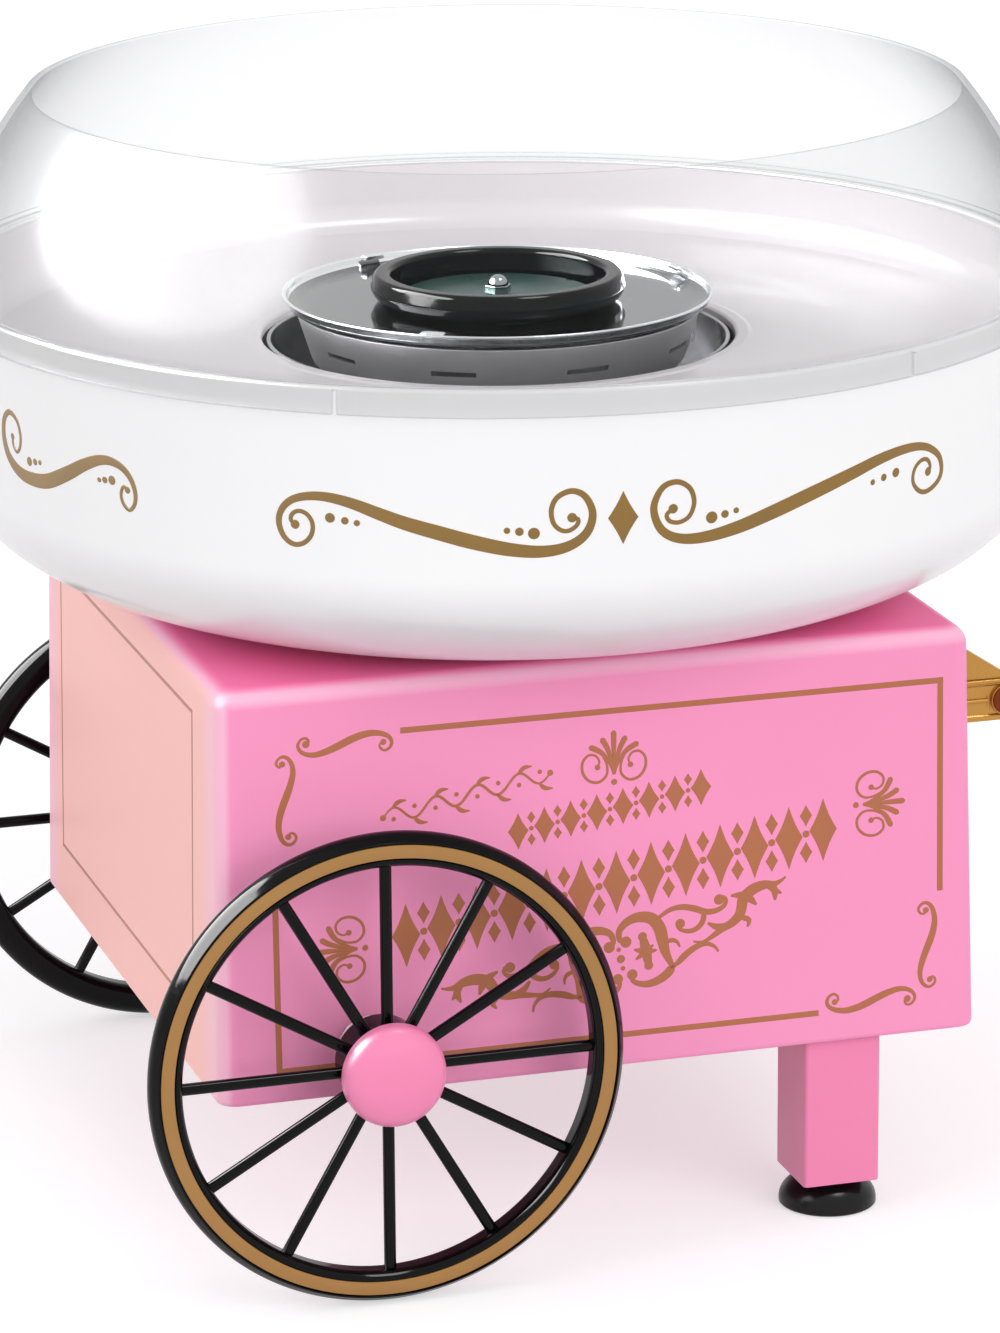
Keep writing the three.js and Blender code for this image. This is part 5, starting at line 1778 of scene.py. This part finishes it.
def end_wall(side: int) -> Surface:
    """An end wall as a surface: u is the place along Y, v the height.

    Args:
        side: -1 for the end by the wheels and 1 for the handle's.

    Returns:
        The surface.
    """

    def surface(u: Array, v: Array, height: Array) -> Array:
        """A place on the wall."""
        return np.stack([CART.centre_x + side * (CART.end(v) + height), u, v], axis=-1)

    return surface


@dataclass
class BowlOrnament(Assembly):
    """Printed scrolls round the bowl, as (degrees from the front, height): a diamond between two long
    scrolls, and beside it a pair of short scrolls."""

    body: ClassVar[Body] = Body.BOWL
    right_scroll: Route = (
        (0.1, 208.6), (-0.55, 207.2), (-0.2, 205.5), (0.8, 205.1), (1.8, 206.5), (2.25, 209.9),
        (1.8, 213.4), (0.5, 215.3), (-1.0, 214.1), (-1.85, 209.5), (-1.4, 204.8), (-0.3, 202.0),
        (1.5, 200.7), (4.0, 200.9), (7.1, 202.4), (10.5, 204.8), (14.1, 207.4), (17.5, 209.7),
        (20.5, 211.6), (23.5, 213.4), (26.3, 214.4), (28.7, 214.5), (30.5, 213.7), (31.9, 212.0),
        (32.8, 210.0), (33.2, 207.5), (33.1, 205.2), (32.4, 203.4), (31.2, 202.2), (30.2, 202.2),
        (29.3, 203.4), (28.7, 205.4), (28.7, 207.6), (29.1, 209.4), (29.9, 210.5), (30.7, 210.4),
        (31.2, 209.2), (31.3, 207.9), (31.0, 207.1),
    )
    left_scroll: Route = (
        (-9.9, 207.9), (-9.3, 207.4), (-9.5, 205.8), (-10.3, 204.6), (-11.1, 205.0), (-11.75, 206.9),
        (-11.9, 210.2), (-11.3, 213.2), (-9.9, 214.6), (-8.6, 213.0), (-7.9, 208.6), (-8.5, 203.9),
        (-10.2, 200.8), (-12.7, 199.6), (-15.8, 200.2), (-19.4, 202.1), (-22.7, 204.3), (-26.1, 206.6),
        (-28.7, 208.8), (-30.9, 210.7), (-32.9, 211.9), (-34.6, 212.3), (-36.2, 211.9), (-37.5, 210.7),
        (-38.4, 208.5), (-38.8, 205.7), (-38.6, 202.8), (-38.0, 200.6), (-37.1, 199.6), (-36.1, 200.4),
        (-35.4, 202.6), (-35.3, 205.3), (-35.8, 207.4), (-36.6, 208.2), (-37.3, 207.5), (-37.55, 205.9),
        (-37.1, 204.7),
    )
    short_scroll: Route = (
        (-75.3, 212.6), (-75.2, 210.4), (-74.5, 209.0), (-73.8, 210.6), (-73.6, 213.8), (-74.2, 217.2),
        (-75.7, 218.8), (-77.0, 216.4), (-77.3, 211.8), (-76.5, 207.4), (-74.7, 204.5), (-72.3, 203.4),
        (-68.9, 204.2), (-65.4, 207.8), (-62.3, 211.7), (-59.7, 213.9), (-57.6, 213.4), (-56.2, 211.0),
        (-55.5, 207.4), (-55.6, 204.2), (-56.3, 202.4), (-57.1, 203.6), (-57.4, 206.0), (-57.0, 208.2),
        (-56.5, 207.4),
    )
    diamond: Pair = (-4.9, 207.3)
    side_diamond: Pair = (-94.7, 208.6)
    diamond_size: Pair = (1.5, 6.7)
    dots: Spots = (
        (4.1, 205.5, 1.5), (5.5, 206.0, 1.0), (6.7, 206.6, 0.75), (26.1, 209.1, 1.2), (24.4, 208.6, 0.95),
        (22.9, 208.0, 0.75), (-33.5, 207.0, 1.25), (-32.0, 206.5, 0.95), (-30.8, 206.1, 0.8),
        (-13.6, 204.2, 1.45), (-15.0, 204.7, 1.05), (-16.2, 205.0, 0.8),
    )
    side_dots: Spots = (
        (-72.0, 207.8, 1.2), (-70.9, 208.2, 0.9), (-70.0, 208.5, 0.7), (-58.6, 209.1, 1.2),
        (-59.6, 208.8, 0.9), (-60.4, 208.5, 0.7),
    )
    degree: float = 2.504

    def build(self) -> None:
        """Lays both motifs, each on two opposite sides."""
        paint = Paint(lambda u, v, h: bowl_surface(u / self.degree, v, h))
        scale = np.array((self.degree, 1.0))
        front: list[Shell] = []
        for points in (self.right_scroll, self.left_scroll):
            front += paint.line(Stroke(points, 1.1, 3.7, 0.47, 2.6, (1.2, 1.15)), scale)
        front.append(self.mark(paint, self.diamond))
        front += [paint.spot(scale * (u, v), radius) for u, v, radius in self.dots]
        side: list[Shell] = []
        middle = self.side_diamond[0]
        for flip in (1, -1):
            points = tuple((middle + flip * (u - middle), v) for u, v in self.short_scroll)
            side += paint.line(Stroke(points, 0.95, 3.9, 0.52, 2.4, (0.9, 0.9)), scale)
            for u, v, radius in self.side_dots:
                side.append(paint.spot(scale * (middle + flip * (u - middle), v), radius))
        side.append(self.mark(paint, self.side_diamond))
        for name, shells in (("front", front), ("side", side)):
            opposite = joined(shells).copies([math.pi])
            self.add(f"bowl_scrolls_{name}", shells + opposite, Slot.BAND, BOWL_INK)

    def mark(self, paint: Paint, centre: Pair) -> Shell:
        """A diamond at a place given in degrees and height."""
        (u, v), (half_width, half_height) = centre, self.diamond_size
        return paint.lozenge((u * self.degree, v), half_width * self.degree, half_height, 0.06)


@dataclass(frozen=True)
class DiamondRow:
    """A rising row of diamonds, with a pair of small ones and a dot between every two."""

    middle: Pair
    slope: float
    count: int
    pitch: float
    diamond: Pair
    small: Pair
    lift: float
    dot: float

    def height(self, x: float) -> float:
        """Height of the row's middle line."""
        return self.middle[1] + self.slope * (x - self.middle[0])


@dataclass
class CartOrnament(Assembly):
    """Printed borders, palmettes and scrollwork on the cart's walls, as (across, height)."""

    border: Pair = (57.7, 143.9)
    border_side: float = 89.2
    border_start: float = -55.6
    line: float = 1.55
    falls: Pair = (87.5, 90.8)
    corner_scroll: Route = (
        (-80.2, 142.6), (-79.4, 143.3), (-80.2, 144.2), (-81.5, 143.9), (-82.3, 142.5), (-81.7, 141.0),
        (-80.1, 140.0), (-77.7, 139.7), (-74.9, 140.3), (-71.9, 141.4), (-68.8, 142.7), (-66.0, 143.6),
        (-63.0, 144.0), (-60.2, 143.5), (-58.5, 142.5), (-57.9, 141.1), (-58.5, 139.8), (-59.8, 139.2),
        (-60.9, 139.9), (-61.0, 141.0), (-60.1, 141.4),
    )
    corner_middle: Pair = (-70.1, 141.8)
    upright_centre: Pair = (-85.7, 128.5)
    upright_scale: float = 0.94
    large_row: DiamondRow = DiamondRow((0.9, 98.6), 0.15, 13, 9.35, (3.75, 8.4), (1.7, 2.9), 4.9, 0.95)
    small_row: DiamondRow = DiamondRow((-0.6, 118.1), 0.141, 8, 7.0, (2.75, 4.8), (1.1, 1.6), 2.9, 0.6)
    vine_ends: tuple[Pair, Pair] = ((-60.6, 121.6), (-16.4, 129.2))
    vine_waves: int = 4
    vine_height: float = 2.0
    palmettes: tuple[tuple[Pair, float], ...] = (((0.6, 131.8), 0), ((72.6, 112.7), -90), ((-72.6, 88.1), 90))
    rays: Route = ((0.0, 6.9), (3.3, 5.2), (6.6, 3.2), (-3.3, 5.2), (-6.6, 3.2))
    curl: Route = (
        (3.0, 0.6), (1.9, -1.9), (2.0, -4.6), (4.0, -6.3), (6.6, -5.8), (8.3, -3.6), (8.4, -0.9), (6.9, 0.9),
        (4.9, 0.7), (3.9, -0.9), (4.4, -2.4),
    )
    end_frames: tuple[tuple[str, int, Pair, Pair], ...] = (
        ("wheel_end", -1, (-70.8, 77.0), (66.3, 146.2)), ("handle_end", 1, (-55.0, 55.0), (66.3, 144.0)),
    )
    end_line: float = 1.05
    end_proud: float = 0.08
    spray_centre: Pair = (0.1, 86.0)
    spray_slope: float = 0.218
    spray_strokes: tuple[Stroke, ...] = (
        Stroke(
            ((2.3, -4.2), (0.9, -3.2), (1.2, -0.9), (3.2, 0.7), (5.8, 1.3), (8.5, 0.8), (10.6, -0.6),
             (11.8, -3.4), (11.9, -6.6), (11.9, -9.9), (12.5, -12.9), (13.1, -15.2)),
            1.3, 3.3, 0.62, 1.5, (1.5, 0),
        ),
        Stroke(
            ((13.2, -14.3), (11.0, -16.0), (8.3, -16.9), (5.5, -17.0), (3.0, -16.0), (1.7, -14.6),
             (2.0, -13.2)),
            1.0, 2.4, 0.1, 1.2, (0, 1.4),
        ),
        Stroke(
            ((11.0, -1.1), (13.3, -0.2), (16.0, 0.5), (19.1, 0.1), (22.0, -1.3), (24.8, -3.1), (27.5, -3.6),
             (29.7, -3.1), (30.7, -1.7), (29.9, -0.5), (28.9, -1.0)),
            0.9, 1.7, 0.5, 1.5, (0, 1.4),
        ),
        Stroke(
            ((24.3, -2.8), (23.5, -5.1), (21.8, -6.5), (19.7, -6.8), (17.7, -6.0), (16.6, -4.7),
             (17.4, -4.0)),
            0.8, 1.5, 0.15, 1.2, (0, 1.3),
        ),
        Stroke(((12.3, -7.4), (14.6, -7.7), (15.7, -8.8), (15.9, -10.0)), 0.5, 1.2, 0.3, 1.2),
        Stroke(
            ((12.3, -14.7), (14.5, -14.0), (17.1, -12.5), (20.2, -11.4), (22.9, -11.4), (24.9, -12.8),
             (25.7, -14.5)),
            0.6, 1.8, 0.3, 1.2,
        ),
        Stroke(
            ((19.8, -9.8), (22.2, -10.7), (25.1, -10.0), (28.1, -8.9), (31.1, -8.1), (33.3, -6.7),
             (34.4, -4.7), (35.1, -3.0), (36.6, -1.9), (38.8, -1.1), (41.5, -1.0), (44.1, -1.6),
             (46.1, -1.3), (47.6, -0.7)),
            0.5, 3.0, 0.66, 1.2,
        ),
        Stroke(((24.6, -6.2), (26.5, -7.8), (28.7, -8.4), (31.1, -8.1)), 0.7, 1.8, 0.5, 1.2),
        Stroke(((32.2, -1.0), (34.6, -1.7), (36.5, -2.8), (38.3, -5.5)), 0.6, 2.3, 0.55, 1.2),
        Stroke(((32.7, -7.0), (34.4, -8.0), (35.5, -9.0), (34.7, -10.5)), 0.6, 1.5, 0.5, 1.2),
        Stroke(((41.5, -1.1), (43.8, -3.0), (43.4, -5.9)), 0.6, 2.0, 0.5, 1.2),
        Stroke(((43.4, -2.8), (44.4, -3.6), (45.5, -4.6)), 0.4, 1.3, 0.4, 1.0),
        Stroke(((6.9, -4.2), (7.0, -8.0), (6.8, -12.2)), 1.6, 2.7, 0.5, 0.8, (1.2, 1.2)),
        Stroke(((4.0, -6.9), (6.9, -8.3), (9.8, -8.9)), 0.5, 1.7, 0.5, 1.0),
        Stroke(((3.8, -9.6), (6.9, -8.3), (9.2, -7.2)), 0.5, 1.5, 0.5, 1.0),
    )
    spray_dots: Spots = ((0.0, -8.2, 1.1), (0.0, -5.6, 0.6), (0.0, -10.8, 0.6))

    def half_border(self, paint: Paint, fall: float) -> list[Shell]:
        """One half of the border. The other half is the same after half a turn.

        Args:
            paint: the paint it is laid with.
            fall: height of the upright's lower end.

        Returns:
            The painted lines and shapes.
        """
        right, high, half = self.border_side, self.border[1], self.line / 2
        lines = [((self.border_start, high), (right + half, high)), ((right, high - half), (right, fall))]
        shells = [paint.straight(a, b, self.line) for a, b in lines]
        shells += paint.line(Stroke(self.corner_scroll, 0.6, 2.0, 0.5, 2.0, (0.95, 0.8)))
        scroll = (np.array(self.corner_scroll) - self.corner_middle)[:, ::-1]
        upright = self.upright_centre - scroll * self.upright_scale
        return shells + paint.line(Stroke(tuple(map(tuple, upright)), 0.6, 1.9, 0.5, 2.0, (0.8, 0.8)))

    def palmette(self, paint: Paint, centre: Pair, turn: float) -> list[Shell]:
        """A fan of five tapering rays over a stem, between two curls.

        Args:
            paint: the paint it is laid with.
            centre: its middle.
            turn: its turn in degrees.

        Returns:
            The painted lines and shapes.
        """
        spin = plane_turn(math.radians(turn))

        def placed(points: Sequence[Pair]) -> Route:
            """Points in the fan's own frame, turned and moved."""
            return tuple(map(tuple, np.asarray(points) @ spin + centre))

        shells: list[Shell] = []
        for x, y in self.rays:
            points = placed([(0.02 * x, -4.6), (0.16 * x, -1.8), (0.5 * x, 0.42 * y), (x, y)])
            shells += paint.line(Stroke(points, 0.45, 1.5, 0.97, 1.4))
        for flip in (1, -1):
            points = placed([(flip * x, y) for x, y in self.curl])
            shells += paint.line(Stroke(points, 0.5, 0.75, 0.5, 1.0, (0.0, 0.75)))
        return [*shells, paint.spot(placed([(0, -6.6)])[0], 0.8)]

    def harlequin(self, paint: Paint) -> list[Shell]:
        """Two rising rows of diamonds with smaller marks between them.

        Args:
            paint: the paint it is laid with.

        Returns:
            The painted lines and shapes.
        """
        shells: list[Shell] = []
        for row in (self.large_row, self.small_row):
            for k in range(row.count):
                x = row.middle[0] + (k - (row.count - 1) / 2) * row.pitch
                shells.append(paint.lozenge((x, row.height(x)), *row.diamond, 0.1))
                if k < row.count - 1:
                    x += row.pitch / 2
                    z = row.height(x)
                    shells += [paint.lozenge((x, z + lift * row.lift), *row.small, 0.05) for lift in (-1, 1)]
                    shells.append(paint.spot((x, z), row.dot))
        return shells

    def vine(self, paint: Paint) -> list[Shell]:
        """A thin sine wave along a rising line, with a leaf and a dot in each bend.

        Args:
            paint: the paint it is laid with.

        Returns:
            The painted lines and shapes.
        """
        (left, low), (right, high) = self.vine_ends
        bends = 2 * self.vine_waves
        x = np.linspace(left, right, 49)
        middle = low + (high - low) * (x - left) / (right - left)
        wave = self.vine_height * np.sin((x - left) / (right - left) * bends * math.pi)
        shells = paint.line(Stroke(tuple(zip(x, middle + wave)), 0.4, 0.75, 0.5, 0.5, (0.8, 0.8)))
        for k in range(bends):
            at = left + (k + 0.5) * (right - left) / bends
            z = low + (high - low) * (k + 0.5) / bends
            side = 1 if k % 2 else -1
            shells.append(paint.spot((at, z + side * 1.0), 0.6))
            leaf = ((at - 0.4, z - side * 1.9), (at + 1.4, z - side * 3.4), (at + 3.4, z - side * 3.6))
            shells += paint.line(Stroke(leaf, 0.3, 1.2, 0.45, 1.2))
        return shells

    def spray(self, paint: Paint) -> list[Shell]:
        """The symmetrical scrollwork under the rows, drawn about its own rising axis.

        Args:
            paint: the paint it is laid with.

        Returns:
            The painted lines and shapes.
        """
        spin = plane_turn(math.atan(self.spray_slope))
        shells: list[Shell] = []
        for flip in (1, -1):
            for stroke in self.spray_strokes:
                points = np.asarray(stroke.points) * (flip, 1) @ spin + self.spray_centre
                shells += paint.line(replace(stroke, points=tuple(map(tuple, points))))
            for u, v, radius in self.spray_dots:
                shells.append(paint.spot(np.array([flip * u, v]) @ spin + self.spray_centre, radius))
        return shells

    def end_frame(self, name: str, side: int, across: Pair, span: Pair) -> None:
        """A thin frame on one end wall.

        Args:
            name: the start of the piece's name.
            side: -1 for the end by the wheels and 1 for the handle's.
            across: its left and right edge along y.
            span: heights of its lower and upper edge.
        """
        paint = Paint(end_wall(side), self.end_proud)
        (left, right), (low, high) = across, span
        corners = [(left, low), (right, low), (right, high), (left, high)]
        edges = zip(corners, corners[1:] + corners[:1])
        lines = [paint.straight(a, b, self.end_line, 0.5) for a, b in edges]
        self.add(f"{name}_frame", lines, Slot.BAND, LINE_INK)

    def build(self) -> None:
        """Lays the printing on the front, a plain border on the back and a thin frame on each end."""
        front = Paint(long_side(-1))
        shells = self.whole_border(front)
        for centre, turn in self.palmettes:
            shells += self.palmette(front, centre, turn)
        shells += self.harlequin(front) + self.vine(front) + self.spray(front)
        self.add("front_print", shells, Slot.BAND, INK)
        self.add("back_print", self.whole_border(Paint(long_side(1))), Slot.BAND, INK)
        for end_frame in self.end_frames:
            self.end_frame(*end_frame)

    def whole_border(self, paint: Paint) -> list[Shell]:
        """Half of the border, and the same turned by half a turn about the wall's middle.

        Args:
            paint: the paint it is laid with.

        Returns:
            The painted lines and shapes.
        """
        total = sum(self.border)
        opposite = replace(paint, surface=lambda u, v, h: paint.surface(-u, total - v, h))
        return self.half_border(paint, self.falls[0]) + self.half_border(opposite, self.falls[1])


# Camera, floor and light


@dataclass
class Studio:
    """The camera at the photograph's angle, a pale floor and plain soft light."""

    place: Triple = (-445.496, -1467.142, 568.867)
    right: Triple = (0.956300, -0.292306, -0.006851)
    up: Triple = (0.086827, 0.261532, 0.961282)
    ahead: Triple = (0.279196, 0.919869, -0.275483)
    focal_pixels: float = 5927.61
    sensor: float = 36.0
    floor_half: float = 6.0
    floor_drop: float = 0.0003
    floor_glow: float = 0.52
    world_level: float = 0.58

    def camera(self) -> None:
        """Sets the camera.

        Its lens is the focal length in pixels over the frame's long side, times the sensor.
        """
        data = bpy.data.cameras.new("photo_camera")
        data.sensor_width = self.sensor
        data.lens = self.focal_pixels * self.sensor / max(PHOTO_FRAME)
        data.clip_start, data.clip_end = 0.05, 60.0
        thing = bpy.data.objects.new("photo_camera", data)
        columns = [self.right, self.up, [-v for v in self.ahead], [v * MM for v in self.place]]
        matrix = Matrix.Identity(4)
        for k, column in enumerate(columns):
            for row in range(3):
                matrix[row][k] = column[row]
        thing.matrix_world = matrix
        bpy.context.scene.collection.objects.link(thing)
        bpy.context.scene.camera = thing

    def floor(self) -> None:
        """A pale floor that keeps the shadow and reads white to the camera, and to metal and glass."""
        mesh = bpy.data.meshes.new("floor")
        h, z = self.floor_half, -self.floor_drop
        mesh.from_pydata([(-h, -h, z), (h, -h, z), (h, h, z), (-h, h, z)], [], [(0, 1, 2, 3)])
        thing = bpy.data.objects.new("floor", mesh)
        bpy.context.scene.collection.objects.link(thing)
        material = bpy.data.materials.new("pale_floor")
        desk = NodeDesk(material)
        matt = desk.node("BsdfDiffuse", {"Color": linear("D4D4D6")})
        strength = desk.math("MULTIPLY", self.background_rays(desk), self.floor_glow)
        glow = desk.node("Emission", {"Color": (1, 1, 1, 1), "Strength": strength})
        desk.show(desk.node("AddShader", {0: matt.outputs[0], 1: glow.outputs[0]}))
        mesh.materials.append(material)

    @staticmethod
    def background_rays(desk: NodeDesk) -> Socket:
        """1 for camera, glossy and transmission rays, and 0 for the rest.

        Args:
            desk: the nodes that need it.

        Returns:
            The number.
        """
        path = desk.node("LightPath").outputs
        first = desk.math("MAXIMUM", path["Is Camera Ray"], path["Is Glossy Ray"])
        return desk.math("MAXIMUM", first, path["Is Transmission Ray"])

    def world(self) -> None:
        """Even light from all round, with a white background for camera, metal and glass."""
        world = bpy.data.worlds.new("studio")
        bpy.context.scene.world = world
        desk = NodeDesk(world, "OutputWorld")
        strength = desk.spread(self.background_rays(desk), self.world_level, 1.0, 0.0, 1.0)
        desk.show(desk.node("Background", {"Color": (1, 1, 1, 1), "Strength": strength}))

    def sun(self, name: str, towards: Triple, strength: float, spread: float) -> None:
        """An even light from one side, seen as a wide soft disc, so that it falls off nowhere on the floor.

        It is kept out of reflections, which show the white surroundings and the softboxes.

        Args:
            name: its name.
            towards: the direction it stands in.
            strength: its strength.
            spread: its width in degrees.
        """
        data = bpy.data.lights.new(name, "SUN")
        data.energy = strength
        data.angle = math.radians(spread)
        thing = bpy.data.objects.new(name, data)
        thing.matrix_world = look_along(-np.asarray(towards, float))
        thing.visible_glossy = False
        bpy.context.scene.collection.objects.link(thing)

    def softbox(self, name: str, at: Triple, aim: Triple, size: Pair, power: float) -> None:
        """An oval lamp that only reflections show, at a place in metres and aimed at another.

        Args:
            name: its name.
            at: its place.
            aim: the place it points at.
            size: its two widths in metres.
            power: its power in watts.
        """
        data = bpy.data.lights.new(name, "AREA")
        data.shape = "ELLIPSE"
        data.size, data.size_y = size
        data.energy = power
        thing = bpy.data.objects.new(name, data)
        thing.matrix_world = Matrix.Translation(at) @ look_along(np.subtract(aim, at))
        thing.visible_diffuse = False
        bpy.context.scene.collection.objects.link(thing)

    def build(self) -> None:
        """Sets the camera, floor, world and lamps."""
        self.camera()
        self.floor()
        self.world()
        self.sun("key", towards=(0.32, -0.87, 0.40), strength=1.42, spread=50.0)
        self.sun("left_fill", towards=(-0.88, -0.1, 0.46), strength=0.98, spread=50.0)
        self.softbox("left_window", at=(-1.10, 0.24, 0.98), aim=(0, 0, 0.26), size=(1.8, 1.15), power=165.0)
        self.softbox("overhead", at=(0.45, -0.41, 1.70), aim=(0, 0, 0.2), size=(0.5, 0.5), power=9.0)
        bpy.context.scene.view_settings.view_transform = "Standard"


def look_along(direction: Array) -> Matrix:
    """The turn that points an object's own -Z axis along a direction, with its Y axis up.

    Args:
        direction: the direction, of any length.

    Returns:
        The turn, as a 4 x 4 matrix.
    """
    z = -direction / np.linalg.norm(direction)
    x = np.cross((0, 0, 1), z)
    x /= np.linalg.norm(x)
    y = np.cross(z, x)
    return Matrix(np.column_stack([x, y, z]).tolist()).to_4x4()


def main() -> None:
    """Builds the studio, then each sub-assembly in order."""
    logging.basicConfig(level=logging.INFO, format="%(name)s %(message)s")
    Studio().build()
    assemblies = [
        CartBody(), *(Wheel(name, side) for name, side in SIDES), PushHandle(), Bowl(), FlossGuard(),
        Heater(), SpinningHead(), BackFittings(), InnerWorks(), BowlOrnament(), CartOrnament(),
    ]
    for assembly in assemblies:
        assembly.build()
        assembly.dress()
        log.info("%s: %d pieces", type(assembly).__name__, len(assembly.pieces))


if __name__ == "__main__":
    main()
